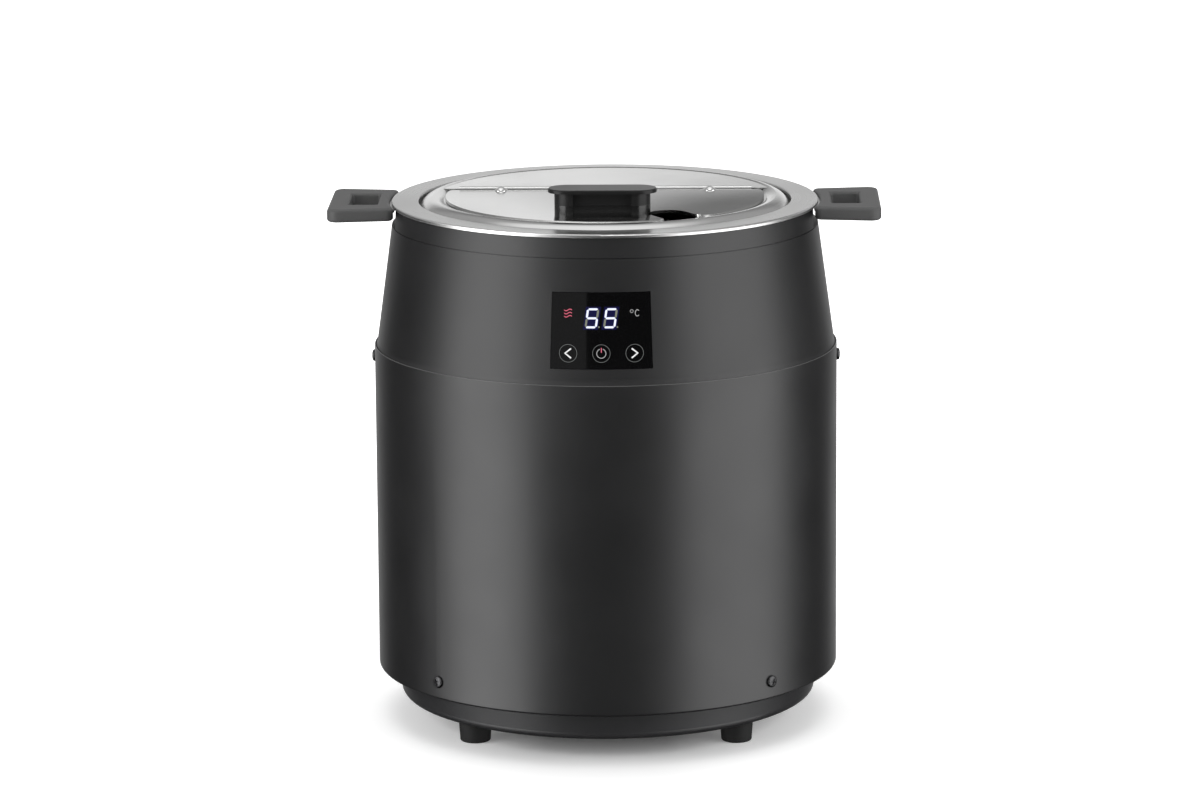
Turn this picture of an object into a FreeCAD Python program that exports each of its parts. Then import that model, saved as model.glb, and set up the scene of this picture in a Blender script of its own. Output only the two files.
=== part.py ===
import FreeCAD, Part
import math
import os
import Sketcher

# Soup kettle: a heated body, a lift-out pot, and a lid with a hinged flap.
# Millimetres, +Z up, the control panel faces -Y, the origin is on the floor under the middle.

Vector = FreeCAD.Vector
doc = FreeCAD.newDocument("soup_kettle")
sheet = doc.addObject("Spreadsheet::Sheet", "Sizes")


class Size:
    """A number that carries the sheet expression it comes from."""

    def __init__(self, value, text):
        self.value = float(value)
        self.text = text

    def join(self, other, sign, result):
        return Size(result, "(%s %s %s)" % (self.text, sign, other.text))

    def __add__(self, other):
        other = as_size(other)
        return self.join(other, "+", self.value + other.value)

    def __sub__(self, other):
        other = as_size(other)
        return self.join(other, "-", self.value - other.value)

    def __mul__(self, other):
        other = as_size(other)
        return self.join(other, "*", self.value * other.value)

    def __truediv__(self, other):
        other = as_size(other)
        return self.join(other, "/", self.value / other.value)

    def __radd__(self, other):
        return as_size(other) + self

    def __rsub__(self, other):
        return as_size(other) - self

    def __rmul__(self, other):
        return as_size(other) * self

    def __neg__(self):
        return Size(-self.value, "(0 - %s)" % self.text)


def as_size(number):
    if isinstance(number, Size):
        return number
    return Size(number, "(%r)" % float(number))


def root(inner):
    return Size(math.sqrt(inner.value), "sqrt(%s)" % inner.text)


def cosine(degrees):
    degrees = as_size(degrees)
    return Size(math.cos(math.radians(degrees.value)), "cos(%s)" % degrees.text)


def sine(degrees):
    degrees = as_size(degrees)
    return Size(math.sin(math.radians(degrees.value)), "sin(%s)" % degrees.text)


def half_chord(radius, offset):
    """Half the width of a circle where a straight line crosses it."""
    return root(radius * radius - offset * offset)


rows = []


def given(name, number):
    """Put a driving dimension into its own cell of the sheet."""
    rows.append(name)
    cell = "A%d" % len(rows)
    sheet.set(cell, str(number))
    sheet.setAlias(cell, name)
    return Size(number, "Sizes." + name)


# The driving dimensions. Radii step in from shell_radius, levels step up from the floor.

# General
fit_gap = 0.3
bolt_gap = 0.05

# Lower shell and its screws
shell_radius = 155
shell_height = 219.5
shell_sheet = 0.8
shell_hem = 6
shell_edge = 1.8
screw_radius = 2
screw_head_radius = 4
screw_head_height = 2.2
screw_length = 9
shell_screw_rise = 12
shoulder_screw_drop = 9.5

# Feet and base pan
foot_height = 14
foot_radius = 11
foot_tip_radius = 10.2
foot_edge = 1.5
foot_inset = 17.3
foot_recess_radius = 5
foot_recess_depth = 8
foot_bolt_radius = 2
pan_inset = 15
pan_rim_flare = 3
pan_rise = 20
pan_shadow_gap = 2.4
pan_wall = 2.5
pan_corner = 5
pan_skirt = 24

# Upper housing and collar
housing_wall = 3.2
housing_skirt = 24
housing_height = 81
flare_height = 5
flare_radius = 12
flare_inset = 2.3
cone_taper = 10.4
mouth_ledge = 10.8
collar_height = 14.7
collar_taper = 2
collar_seam = 0.6
collar_flat_inset = 3.8
collar_bore_inset = 12.9
collar_rib_inset = 7.1
collar_spigot = 5
collar_screw_inset = 7.3
collar_screw_reach = 8
small_bolt_radius = 1.4
small_head_radius = 2.7
small_head_height = 1.8

# Control panel, boards and inner wiring
panel_angle = 25
panel_slack_angle = 0.2
panel_bottom = 11
panel_height = 48.7
panel_sheet = 2
panel_back_gap = 0.1
window_angle = 20
window_margin = 5
board_sheet = 1.6
board_setback = 11.1
panel_board_width = 70
panel_board_height = 42
post_radius = 2.6
post_length = 5
post_half_span = 31
post_half_rise = 17
display_width = 25
display_height = 19
display_rise = 7.5
display_depth = 7.6
key_spacing = 21.4
key_drop = 14.4
key_spring_radius = 3
key_spring_wall = 0.8
key_spring_length = 6.2
power_board_width = 96
power_board_length = 64
terminal_gap = 2.7
standoff_height = 10
standoff_radius = 3.2
standoff_inset = 5
board_part_inset = 2
board_part_gap = 5
transformer_width = 30
transformer_length = 24
transformer_height = 22
relay_width = 20
relay_length = 16
relay_height = 16
terminal_width = 56
terminal_length = 14
terminal_height = 16
ribbon_place = 25
ribbon_width = 15
ribbon_sheet = 1
ribbon_bend = 6
ribbon_level = 44
ribbon_drop = 0.6
socket_height = 6
socket_length = 5
socket_margin = 1
gland_rise = 10
gland_bore = 3.6
gland_radius = 6.2
gland_flange_radius = 7.8
gland_flange = 3
gland_snout = 6
gland_snout_wall = 1.4
gland_snap_radius = 7

# Water well and heater
well_clearance = 2.4
well_sheet = 0.8
well_floor_gap = 18
well_corner = 15
well_rim_gap = 0.6
well_rim_height = 26
well_lap_height = 6
seal_sheet = 0.8
seal_inset = 0.4
plate_inset = 45
plate_sheet = 4
element_inset = 20
element_width = 8
element_height = 6
element_angle = 320
pin_radius = 1.6
pin_length = 14
shield_drop = 11
shield_sheet = 1
shield_margin = 13
rod_radius = 3
rod_tail = 6.5
spacer_radius = 5.5
nut_radius = 5.8
nut_height = 5
sensor_inset = 30
sensor_radius = 4
sensor_length = 9
sensor_flange = 2
fuse_radius = 8
fuse_height = 7
lead_radius = 1.5
wool_thickness = 6
wool_foot = 20
wool_height = 110

# Pot, brackets and grips
water_gap = 8.2
pot_sheet = 1
pot_depth = 210
pot_corner = 11
pot_ledge_width = 5.6
pot_ledge_drop = 7
flange_inset = 0.1
flange_lip = 2.4
flange_edge = 0.9
bracket_sheet = 2
bracket_overlap = 3
bracket_end_inset = 5.8
bracket_half_width = 30
bracket_arm = 5
bracket_lead = 3
grip_start_gap = 1.3
grip_reach = 41.1
grip_thickness = 9
grip_inner_width = 76
grip_outer_width = 89
grip_hole_lead = 8.8
grip_hole_length = 19
grip_hole_width = 44.5
grip_corner = 7
grip_inner_corner = 5
grip_edge = 2.2

# Lid, hinge and handle
lid_clearance = 2
lid_sheet = 1
bead_inset = 7.9
bead_rise = 2.5
bead_shoulder = 2.4
bead_bend = 10
bead_inner_bend = 12
shelf_inset = 14.8
shelf_width = 7.1
shelf_overlap = 4.4
flap_clearance = 1.3
flap_rise = 2.2
flap_hem = 2
flap_corner = 6
hinge_back = 24
barrel_radius = 2
hinge_pin_radius = 1
knuckle_gap = 0.3
leaf_width = 13
rivet_inset = 28
rivet_front = 7
rivet_head_radius = 4
rivet_head_height = 2.8
rivet_radius = 1.6
rivet_tail_radius = 2.6
rivet_tail = 1
notch_angle = 30
notch_half_width = 13
notch_depth = 20.3
notch_left_round = 3
notch_right_round = 9
handle_inset = 23.3
handle_half_length = 31.3
handle_half_depth = 10.8
handle_recess = 4
handle_recess_half = 19
handle_base_height = 8
handle_neck_height = 8
handle_plate_height = 2.6
handle_plate_half_length = 35.5
handle_plate_half_depth = 12.6
handle_edge = 0.9
handle_bolt_place = 22
handle_bolt_radius = 2
handle_bolt_length = 13

for name, number in list(globals().items()):
    if type(number) in (int, float):
        globals()[name] = given(name, number)
doc.recompute()

# Radii, from the shell inwards
pan_radius = shell_radius - pan_inset
pan_rim_radius = pan_radius + pan_rim_flare
foot_circle = pan_radius - foot_inset
skirt_radius = shell_radius - shell_sheet - fit_gap
cone_base_radius = shell_radius - flare_inset
cone_top_radius = cone_base_radius - cone_taper
housing_mouth = cone_top_radius - mouth_ledge
collar_top_radius = cone_top_radius - collar_taper
collar_flat = cone_top_radius - collar_flat_inset
collar_bore = cone_top_radius - collar_bore_inset
collar_rib_radius = cone_top_radius - collar_rib_inset
collar_screw_circle = cone_top_radius - collar_screw_inset
well_radius = collar_bore - well_clearance
well_rim_radius = collar_rib_radius - well_rim_gap
plate_radius = well_radius - plate_inset
element_circle = plate_radius - element_inset
sensor_circle = element_circle - sensor_inset
shield_radius = plate_radius + shield_margin
pot_radius = well_radius - water_gap
pot_mouth = pot_radius + pot_ledge_width
flange_radius = cone_top_radius - flange_inset
grip_end = flange_radius + grip_reach
grip_hole_start = flange_radius + grip_hole_lead
grip_hole_end = grip_hole_start + grip_hole_length
bracket_start = flange_radius - bracket_overlap
bracket_end = grip_end - bracket_end_inset
lid_radius = pot_mouth - lid_clearance
bead_radius = lid_radius - bead_inset
shelf_outer = lid_radius - shelf_inset
shelf_inner = shelf_outer - shelf_width
flap_radius = shelf_outer - flap_clearance
hinge_clear = barrel_radius + knuckle_gap
hinge_half_length = half_chord(flap_radius, hinge_back - hinge_clear) - flap_corner
rivet_place = hinge_half_length - rivet_inset
notch_reach = flap_radius - notch_depth
handle_front = flap_radius - handle_inset

# Levels, from the floor up
pan_bottom = foot_height
pan_floor = pan_bottom + pan_wall
shell_bottom = pan_bottom + pan_rise
shell_top = shell_bottom + shell_height
pan_step = shell_bottom + shell_sheet + fit_gap
cone_start = shell_top + flare_height
seam = shell_top + housing_height
collar_top = seam + collar_height
cone_slope = cone_taper / (seam - cone_start)
seal_bottom = collar_top - well_sheet - seal_sheet - fit_gap
well_rim = seal_bottom + seal_sheet
well_bottom = well_rim + well_sheet - pot_depth - well_floor_gap
well_rim_foot = well_rim - well_rim_height
well_wall_top = well_rim_foot + well_lap_height
plate_bottom = well_bottom - plate_sheet
element_bottom = plate_bottom - element_height
shield_top = plate_bottom - shield_drop
shield_bottom = shield_top - shield_sheet
pin_end = element_bottom - pin_length
board_bottom = pan_floor + standoff_height
board_top = board_bottom + board_sheet
flange_bottom = collar_top + fit_gap
flange_top = flange_bottom + pot_sheet
lip_bottom = flange_top - flange_lip
ledge = flange_top - pot_ledge_drop
pot_bottom = flange_top - pot_depth
lid_foot = ledge + fit_gap
bead_top = flange_top + bead_rise
flap_top = flange_top + flap_rise
flap_bottom = flap_top - flap_hem
shelf_top = flap_bottom - fit_gap
hinge_level = flap_top
leaf_bottom = hinge_level - barrel_radius
sheet_bottom = flap_top - lid_sheet
handle_seam = flap_top + handle_base_height
handle_neck = handle_seam + handle_neck_height
terminal_place = element_circle * sine((360 - element_angle) * 0.5)
terminal_back = element_circle * cosine((360 - element_angle) * 0.5)
transformer_near = terminal_back + terminal_length * 0.5 + terminal_gap
power_board_far = transformer_near + transformer_length + board_part_inset
power_board_near = power_board_far - power_board_length


def cone_radius(level):
    """Outside radius of the upper housing at a level."""
    return cone_base_radius - (level - cone_start) * cone_slope


panel_foot = shell_top + panel_bottom
panel_head = panel_foot + panel_height
panel_middle = panel_foot + panel_height * 0.5
panel_board_depth = cone_radius(panel_middle) - board_setback
lean_degrees = math.degrees(math.atan(cone_slope.value))

QUARTERS = (45, 135, 225, 315)
SIDES = (0, 180)


def new_body(label):
    body = doc.addObject("PartDesign::Body", label)
    body.Label = label
    return body


def plane_of(body, role):
    for feature in body.Origin.OriginFeatures:
        if feature.Role == role:
            return feature
    raise RuntimeError("no plane " + role)


def bind(thing, path, amount):
    """Set a property from the sheet."""
    thing.setExpression(path, as_size(amount).text)


def new_sketch(body, role, shift=(0, 0, 0), turn=None):
    """A sketch on one of the body's own planes, shifted and turned in that plane's axes."""
    sketch = body.newObject("Sketcher::SketchObject", body.Name + "_sketch")
    sketch.AttachmentSupport = [(plane_of(body, role), "")]
    sketch.MapMode = "FlatFace"
    if turn is not None:
        axis, degrees = turn
        sketch.AttachmentOffset = FreeCAD.Placement(Vector(0, 0, 0), FreeCAD.Rotation(axis, degrees))
    for letter, amount in zip("xyz", shift):
        amount = as_size(amount)
        if amount.value != 0:
            bind(sketch, "AttachmentOffset.Base." + letter, amount)
    return sketch


def pin_point(sketch, geometry, position, x, y):
    """Hold one sketch point at sheet-driven coordinates."""
    for kind, amount in (("DistanceX", as_size(x)), ("DistanceY", as_size(y))):
        rule = Sketcher.Constraint(kind, -1, 1, geometry, position, amount.value)
        index = sketch.addConstraint(rule)
        sketch.setExpression("Constraints[%d]" % index, amount.text)


def hold_radius(sketch, geometry, radius):
    index = sketch.addConstraint(Sketcher.Constraint("Radius", geometry, radius.value))
    sketch.setExpression("Constraints[%d]" % index, radius.text)


def arc_between(start, end, radius, turns_left):
    """The short arc from start to end, with its centre left or right of the way."""
    chord = end - start
    middle = (start + end) * 0.5
    height = math.sqrt(max(radius ** 2 - (chord.Length * 0.5) ** 2, 0.0))
    side = Vector(-chord.y, chord.x, 0).normalize()
    centre = middle + side * (height if turns_left else -height)
    circle = Part.Circle(centre, Vector(0, 0, 1), radius)
    first, last = (start, end) if turns_left else (end, start)
    angles = [math.atan2(point.y - centre.y, point.x - centre.x) for point in (first, last)]
    return Part.ArcOfCircle(circle, angles[0], angles[1])


def trace(sketch, points):
    """Draw a closed loop. A third value bends the edge that starts there: the radius of an
    arc, positive where the centre is on the left of the way."""
    corners = [Vector(as_size(p[0]).value, as_size(p[1]).value, 0) for p in points]
    starts = []
    ends = []
    for index, point in enumerate(points):
        start = corners[index]
        end = corners[(index + 1) % len(points)]
        if len(point) == 2:
            number = sketch.addGeometry(Part.LineSegment(start, end), False)
            starts.append((number, 1))
            ends.append((number, 2))
            continue
        bend = as_size(point[2])
        left = bend.value > 0
        number = sketch.addGeometry(arc_between(start, end, abs(bend.value), left), False)
        starts.append((number, 1 if left else 2))
        ends.append((number, 2 if left else 1))
        hold_radius(sketch, number, bend if left else -bend)
    for index, point in enumerate(points):
        after = starts[(index + 1) % len(points)]
        sketch.addConstraint(Sketcher.Constraint("Coincident", *ends[index], *after))
        pin_point(sketch, starts[index][0], starts[index][1], point[0], point[1])


def circle(sketch, x, y, radius):
    x, y, radius = as_size(x), as_size(y), as_size(radius)
    shape = Part.Circle(Vector(x.value, y.value, 0), Vector(0, 0, 1), radius.value)
    number = sketch.addGeometry(shape, False)
    hold_radius(sketch, number, radius)
    pin_point(sketch, number, 3, x, y)


def box_points(x0, x1, y0, y1):
    return [(x0, y0), (x1, y0), (x1, y1), (x0, y1)]


def add_feature(body, kind, sketch):
    feature = body.newObject("PartDesign::" + kind, "%s_%s" % (body.Name, kind.lower()))
    feature.Profile = (sketch, [""])
    sketch.Visibility = False
    body.Tip = feature
    return feature


def pad(body, sketch, length, both=False, back=False):
    feature = add_feature(body, "Pad", sketch)
    if both:
        feature.SideType = "Symmetric"
    feature.Reversed = back
    bind(feature, "Length", length)
    return feature


def cut_through(body, sketch, both=True, back=False):
    feature = add_feature(body, "Pocket", sketch)
    feature.Type = "ThroughAll"
    if both:
        feature.SideType = "Symmetric"
    feature.Reversed = back
    return feature


def cut(body, sketch, length, both=False, back=False):
    feature = add_feature(body, "Pocket", sketch)
    if both:
        feature.SideType = "Symmetric"
    feature.Reversed = back
    bind(feature, "Length", length)
    return feature


def turn(body, sketch, kind="Revolution", axis="V_Axis", degrees=None):
    """Revolve about a sketch axis: all the way round, or evenly to both sides."""
    feature = add_feature(body, kind, sketch)
    feature.ReferenceAxis = (sketch, [axis])
    feature.Angle = 360
    if degrees is not None:
        feature.Midplane = True
        bind(feature, "Angle", degrees)
    return feature


def turned(label, points):
    """A part that is round about the upright axis."""
    body = new_body(label)
    sketch = new_sketch(body, "XZ_Plane")
    trace(sketch, points)
    turn(body, sketch)
    return body


def turned_group(label, places, points):
    """Equal turned solids on upright axes, as one node."""
    body = new_body(label)
    for x, y in places:
        sketch = new_sketch(body, "XZ_Plane", (x, 0, -as_size(y)))
        trace(sketch, points)
        turn(body, sketch)
    return body


def radial_group(label, angles, level, points):
    """Equal turned solids on level axes that point away from the middle, as one node."""
    body = new_body(label)
    for angle in angles:
        sketch = new_sketch(body, "XZ_Plane", (0, level, 0), (Vector(0, 1, 0), angle))
        trace(sketch, points)
        turn(body, sketch, axis="H_Axis")
    return body


def radial_holes(body, angles, level, radius):
    for angle in angles:
        sketch = new_sketch(body, "YZ_Plane", (0, 0, 0), (Vector(0, 1, 0), angle))
        circle(sketch, 0, level, radius)
        cut_through(body, sketch, both=False, back=True)


def upright_holes(body, places, radius):
    sketch = new_sketch(body, "XY_Plane")
    for x, y in places:
        circle(sketch, x, y, radius)
    cut_through(body, sketch)


def on_circle(radius, angles):
    return [(radius * cosine(angle), radius * sine(angle)) for angle in angles]


def block(label, x0, x1, y0, y1, bottom, height):
    body = new_body(label)
    sketch = new_sketch(body, "XY_Plane", (0, 0, bottom))
    trace(sketch, box_points(x0, x1, y0, y1))
    pad(body, sketch, height)
    return body


def round_edges(body, radius, wanted):
    """Fillet the edges whose middle point passes a test."""
    doc.recompute()
    names = []
    for index, edge in enumerate(body.Tip.Shape.Edges):
        middle = edge.valueAt((edge.FirstParameter + edge.LastParameter) * 0.5)
        if wanted(edge, middle):
            names.append("Edge%d" % (index + 1))
    before = body.Tip
    feature = body.newObject("PartDesign::Fillet", body.Name + "_fillet")
    feature.Base = (before, names)
    bind(feature, "Radius", radius)
    body.Tip = feature


def is_upright(edge):
    return abs(edge.BoundBox.ZLength - edge.Length) < 1e-6


def pan_head(seat, tip, shank, head_radius, head_height):
    """Half outline of an upright screw whose head is under its seat."""
    crown = head_height * 0.45
    return [(0, seat - head_height), (head_radius * 0.6, seat - head_height),
            (head_radius, seat - crown), (head_radius, seat), (shank, seat), (shank, tip), (0, tip)]


def side_screw(seat):
    """Half outline, along a level axis, of a screw that enters from outside."""
    crown = screw_head_height * 0.45
    return [(seat - screw_length, 0), (seat - screw_length, screw_radius), (seat, screw_radius),
            (seat, screw_head_radius), (seat + crown, screw_head_radius),
            (seat + screw_head_height, screw_head_radius * 0.55), (seat + screw_head_height, 0)]


# The base

foot_places = on_circle(foot_circle, QUARTERS)
FOOT_NAMES = ("foot_rear_right", "foot_rear_left", "foot_front_left", "foot_front_right")
foot_bolt_hole = foot_bolt_radius + bolt_gap
standoff_span = power_board_width * 0.5 - standoff_inset
standoff_near = power_board_near + standoff_inset
standoff_far = power_board_far - standoff_inset
standoffs = [(standoff_span, standoff_near), (standoff_span, standoff_far),
             (-standoff_span, standoff_near), (-standoff_span, standoff_far)]
gland_level = pan_bottom + gland_rise
side_hole = screw_radius + bolt_gap
small_hole = small_bolt_radius + bolt_gap
shell_screw_level = shell_bottom + shell_screw_rise
shoulder_screw_level = shell_top - shoulder_screw_drop


def build_base_pan():
    neck = pan_radius
    top = pan_step + pan_skirt
    inside = neck - pan_wall
    body = turned("base_pan", [
        (0, pan_bottom),
        (pan_radius - pan_corner, pan_bottom, pan_corner),
        (pan_radius, pan_bottom + pan_corner),
        (pan_rim_radius, shell_bottom - pan_shadow_gap),
        (neck, shell_bottom - pan_shadow_gap),
        (neck, pan_step),
        (skirt_radius, pan_step),
        (skirt_radius, top),
        (skirt_radius - pan_wall, top),
        (skirt_radius - pan_wall, pan_step + pan_wall),
        (inside, pan_step + pan_wall),
        (inside, pan_floor),
        (0, pan_floor)])
    posts = new_sketch(body, "XY_Plane", (0, 0, pan_floor))
    for x, y in standoffs:
        circle(posts, x, y, standoff_radius)
    pad(body, posts, standoff_height)
    bores = new_sketch(body, "XY_Plane", (0, 0, board_bottom))
    for x, y in standoffs:
        circle(bores, x, y, small_hole)
    cut(body, bores, standoff_height)
    upright_holes(body, foot_places, foot_bolt_hole)
    upright_holes(body, [(0, 0)], rod_radius + bolt_gap)
    radial_holes(body, QUARTERS, shell_screw_level, side_hole)
    radial_holes(body, [90], gland_level, gland_radius + bolt_gap)
    return body


def build_feet():
    points = [
        (foot_recess_radius, 0),
        (foot_tip_radius - foot_edge, 0, foot_edge),
        (foot_tip_radius, foot_edge),
        (foot_radius, foot_height),
        (foot_bolt_hole, foot_height),
        (foot_bolt_hole, foot_recess_depth),
        (foot_recess_radius, foot_recess_depth)]
    feet = []
    for name, place in zip(FOOT_NAMES, foot_places):
        body = turned(name, points)
        bind(body, "Placement.Base.x", place[0])
        bind(body, "Placement.Base.y", place[1])
        feet.append(body)
    return feet


def hex_group(label, places, bottoms, radius, height, hole):
    """Equal hexagon nuts, as one node."""
    body = new_body(label)
    for (x, y), bottom in zip(places, bottoms):
        sketch = new_sketch(body, "XY_Plane", (0, 0, bottom))
        corners = [(x + radius * cosine(60 * k), y + radius * sine(60 * k)) for k in range(6)]
        trace(sketch, corners)
        circle(sketch, x, y, hole)
        pad(body, sketch, height)
    return body


def build_foot_fasteners():
    tip = pan_floor + nut_height
    outline = pan_head(foot_recess_depth, tip, foot_bolt_radius, screw_head_radius, screw_head_height)
    screws = turned_group("foot_screws", foot_places, outline)
    nuts = hex_group("foot_nuts", foot_places, [pan_floor] * 4, screw_head_radius, nut_height * 0.64,
                     foot_bolt_hole)
    return [screws, nuts]


def build_cable_gland():
    """A bush in the rear wall of the base: flange and snout outside, snap ring inside."""
    inner_face = pan_radius - pan_wall
    outer_face = pan_rim_radius + fit_gap
    body = new_body("cable_gland")
    sketch = new_sketch(body, "YZ_Plane", (0, gland_level, 0))
    trace(sketch, [
        (inner_face - gland_flange - fit_gap, gland_bore),
        (outer_face + gland_flange + gland_snout, gland_bore),
        (outer_face + gland_flange + gland_snout, gland_bore + gland_snout_wall),
        (outer_face + gland_flange, gland_radius),
        (outer_face + gland_flange, gland_flange_radius),
        (outer_face, gland_flange_radius),
        (outer_face, gland_radius),
        (inner_face - fit_gap, gland_radius),
        (inner_face - fit_gap, gland_snap_radius),
        (inner_face - gland_flange - fit_gap, gland_radius)])
    turn(body, sketch, axis="H_Axis")
    return body


# The outer skin

def build_lower_shell():
    inside = shell_radius - shell_sheet
    body = turned("lower_shell", [
        (inside - shell_hem, shell_bottom),
        (shell_radius - shell_edge, shell_bottom, shell_edge),
        (shell_radius, shell_bottom + shell_edge),
        (shell_radius, shell_top),
        (inside, shell_top),
        (inside, shell_bottom + shell_edge, shell_sheet - shell_edge),
        (shell_radius - shell_edge, shell_bottom + shell_sheet),
        (inside - shell_hem, shell_bottom + shell_sheet)])
    radial_holes(body, QUARTERS, shell_screw_level, side_hole)
    radial_holes(body, SIDES, shoulder_screw_level, side_hole)
    return body


def build_side_screws():
    lower = radial_group("shell_screws", QUARTERS, shell_screw_level, side_screw(shell_radius))
    upper = radial_group("shoulder_screws", SIDES, shoulder_screw_level, side_screw(shell_radius))
    return [lower, upper]


def band_points(bottom, top, outer, inner):
    """Cross-section, on the -Y side, of a band that follows the housing's slope."""
    return [(-(cone_radius(bottom) + outer), bottom), (-(cone_radius(bottom) - inner), bottom),
            (-(cone_radius(top) - inner), top), (-(cone_radius(top) + outer), top)]


def tilted_sketch(body, depth):
    """A sketch facing out of the panel, a depth in front of the axis at the panel's middle."""
    sketch = new_sketch(body, "XZ_Plane", (0, panel_middle, depth), (Vector(-1, 0, 0), lean_degrees))
    sketch.setExpression("AttachmentOffset.Rotation.Angle", "atan(%s)" % cone_slope.text)
    return sketch


post_places = [(post_half_span * i, post_half_rise * j) for i in (-1, 1) for j in (-1, 1)]


def build_upper_housing():
    foot = shell_top - housing_skirt
    body = turned("upper_housing", [
        (skirt_radius - housing_wall, foot),
        (skirt_radius, foot),
        (skirt_radius, shell_top, -flare_radius),
        (cone_base_radius, cone_start),
        (cone_top_radius, seam),
        (housing_mouth, seam),
        (housing_mouth, seam - housing_wall),
        (cone_top_radius - housing_wall, seam - housing_wall),
        (cone_base_radius - housing_wall, cone_start)])
    posts = tilted_sketch(body, panel_board_depth)
    for x, y in post_places:
        circle(posts, x, y, post_radius)
    pad(body, posts, post_length)
    recess = new_sketch(body, "YZ_Plane")
    trace(recess, band_points(panel_foot - fit_gap, panel_head + fit_gap, panel_sheet * 2, panel_sheet))
    turn(body, recess, "Groove", degrees=panel_angle + panel_slack_angle)
    window = new_sketch(body, "YZ_Plane")
    trace(window, band_points(panel_foot + window_margin, panel_head - window_margin, 0,
                              housing_wall + panel_sheet))
    turn(body, window, "Groove", degrees=window_angle)
    upright_holes(body, on_circle(collar_screw_circle, QUARTERS), small_hole)
    radial_holes(body, SIDES, shoulder_screw_level, side_hole)
    return body


def build_top_collar():
    body = turned("top_collar", [
        (collar_bore, seam - collar_spigot),
        (housing_mouth - fit_gap, seam - collar_spigot),
        (housing_mouth - fit_gap, seam),
        (cone_top_radius - collar_seam, seam),
        (cone_top_radius - collar_seam, seam + collar_seam),
        (cone_top_radius, seam + collar_seam),
        (collar_top_radius, collar_top),
        (collar_rib_radius, collar_top),
        (collar_rib_radius, seal_bottom),
        (collar_bore, seal_bottom)])
    flats = new_sketch(body, "XY_Plane")
    for side in (-1, 1):
        near = collar_flat * side
        far = cone_top_radius * 1.1 * side
        trace(flats, box_points(near, far, -cone_top_radius * 0.5, cone_top_radius * 0.5))
    cut_through(body, flats)
    upright_holes(body, on_circle(collar_screw_circle, QUARTERS), small_hole)
    return body


def build_collar_screws():
    outline = pan_head(seam - housing_wall, seam + collar_screw_reach, small_bolt_radius,
                       small_head_radius, small_head_height)
    return turned_group("collar_screws", on_circle(collar_screw_circle, QUARTERS), outline)


# The control panel and the electronics

def build_control_panel():
    body = new_body("control_panel")
    sketch = new_sketch(body, "YZ_Plane")
    trace(sketch, band_points(panel_foot, panel_head, 0, panel_sheet - panel_back_gap))
    turn(body, sketch, degrees=panel_angle)
    return body


def tilt_body(body, depth):
    """Lean a part that was drawn upright about the panel's middle."""
    body.Placement = FreeCAD.Placement(Vector(0, 0, 0), FreeCAD.Rotation(Vector(-1, 0, 0), lean_degrees))
    body.setExpression("Placement.Rotation.Angle", "atan(%s)" % cone_slope.text)
    bind(body, "Placement.Base.y", -depth)
    bind(body, "Placement.Base.z", panel_middle)


def build_control_board():
    """The board stands on the housing's posts, with a ribbon socket low on its back."""
    body = new_body("control_board")
    half_width = panel_board_width * 0.5
    half_height = panel_board_height * 0.5
    sketch = new_sketch(body, "XZ_Plane")
    trace(sketch, box_points(-half_width, half_width, -half_height, half_height))
    for x, y in post_places:
        circle(sketch, x, y, small_hole)
    pad(body, sketch, board_sheet, back=True)
    socket = new_sketch(body, "XZ_Plane", (0, 0, -board_sheet))
    half_socket = ribbon_width * 0.5 + socket_margin
    trace(socket, box_points(ribbon_place - half_socket, ribbon_place + half_socket,
                             -half_height, socket_height - half_height))
    pad(body, socket, socket_length, back=True)
    tilt_body(body, panel_board_depth)
    return body


def build_display_module():
    body = new_body("display_module")
    sketch = new_sketch(body, "XZ_Plane")
    half_width = display_width * 0.5
    half_height = display_height * 0.5
    trace(sketch, box_points(-half_width, half_width,
                             display_rise - half_height, display_rise + half_height))
    pad(body, sketch, display_depth)
    tilt_body(body, panel_board_depth)
    return body


def build_key_springs():
    """One touch spring behind each key, from the board to the panel."""
    body = new_body("key_springs")
    sketch = new_sketch(body, "XZ_Plane")
    for step in (-1, 0, 1):
        circle(sketch, key_spacing * step, -key_drop, key_spring_radius)
        circle(sketch, key_spacing * step, -key_drop, key_spring_radius - key_spring_wall)
    pad(body, sketch, key_spring_length)
    tilt_body(body, panel_board_depth)
    return body


def build_power_board():
    half_width = power_board_width * 0.5
    near = power_board_near
    body = block("power_board", -half_width, half_width, near, power_board_far, board_bottom, board_sheet)
    half_socket = ribbon_width * 0.5 + socket_margin
    socket = new_sketch(body, "XY_Plane", (0, 0, board_top))
    trace(socket, box_points(ribbon_place - half_socket, ribbon_place + half_socket,
                             near + board_part_inset, near + board_part_inset + socket_length))
    pad(body, socket, socket_height)
    upright_holes(body, standoffs, small_hole)
    return body


def build_board_parts():
    far = power_board_far - board_part_inset
    transformer = block("transformer", -board_part_gap - transformer_width, -board_part_gap,
                        far - transformer_length, far, board_top, transformer_height)
    relay = block("heater_relay", board_part_gap, board_part_gap + relay_width,
                  far - relay_length, far, board_top, relay_height)
    terminal = block("terminal_block", terminal_width * -0.5, terminal_width * 0.5,
                     terminal_back - terminal_length * 0.5, terminal_back + terminal_length * 0.5,
                     board_top, terminal_height)
    tip = board_bottom - standoff_height * 0.7
    points = [(0, tip), (small_bolt_radius, tip),
              (small_bolt_radius, board_top), (small_head_radius, board_top),
              (small_head_radius, board_top + small_head_height), (0, board_top + small_head_height)]
    screws = turned_group("board_screws", standoffs, points)
    return [transformer, relay, terminal, screws]


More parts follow.
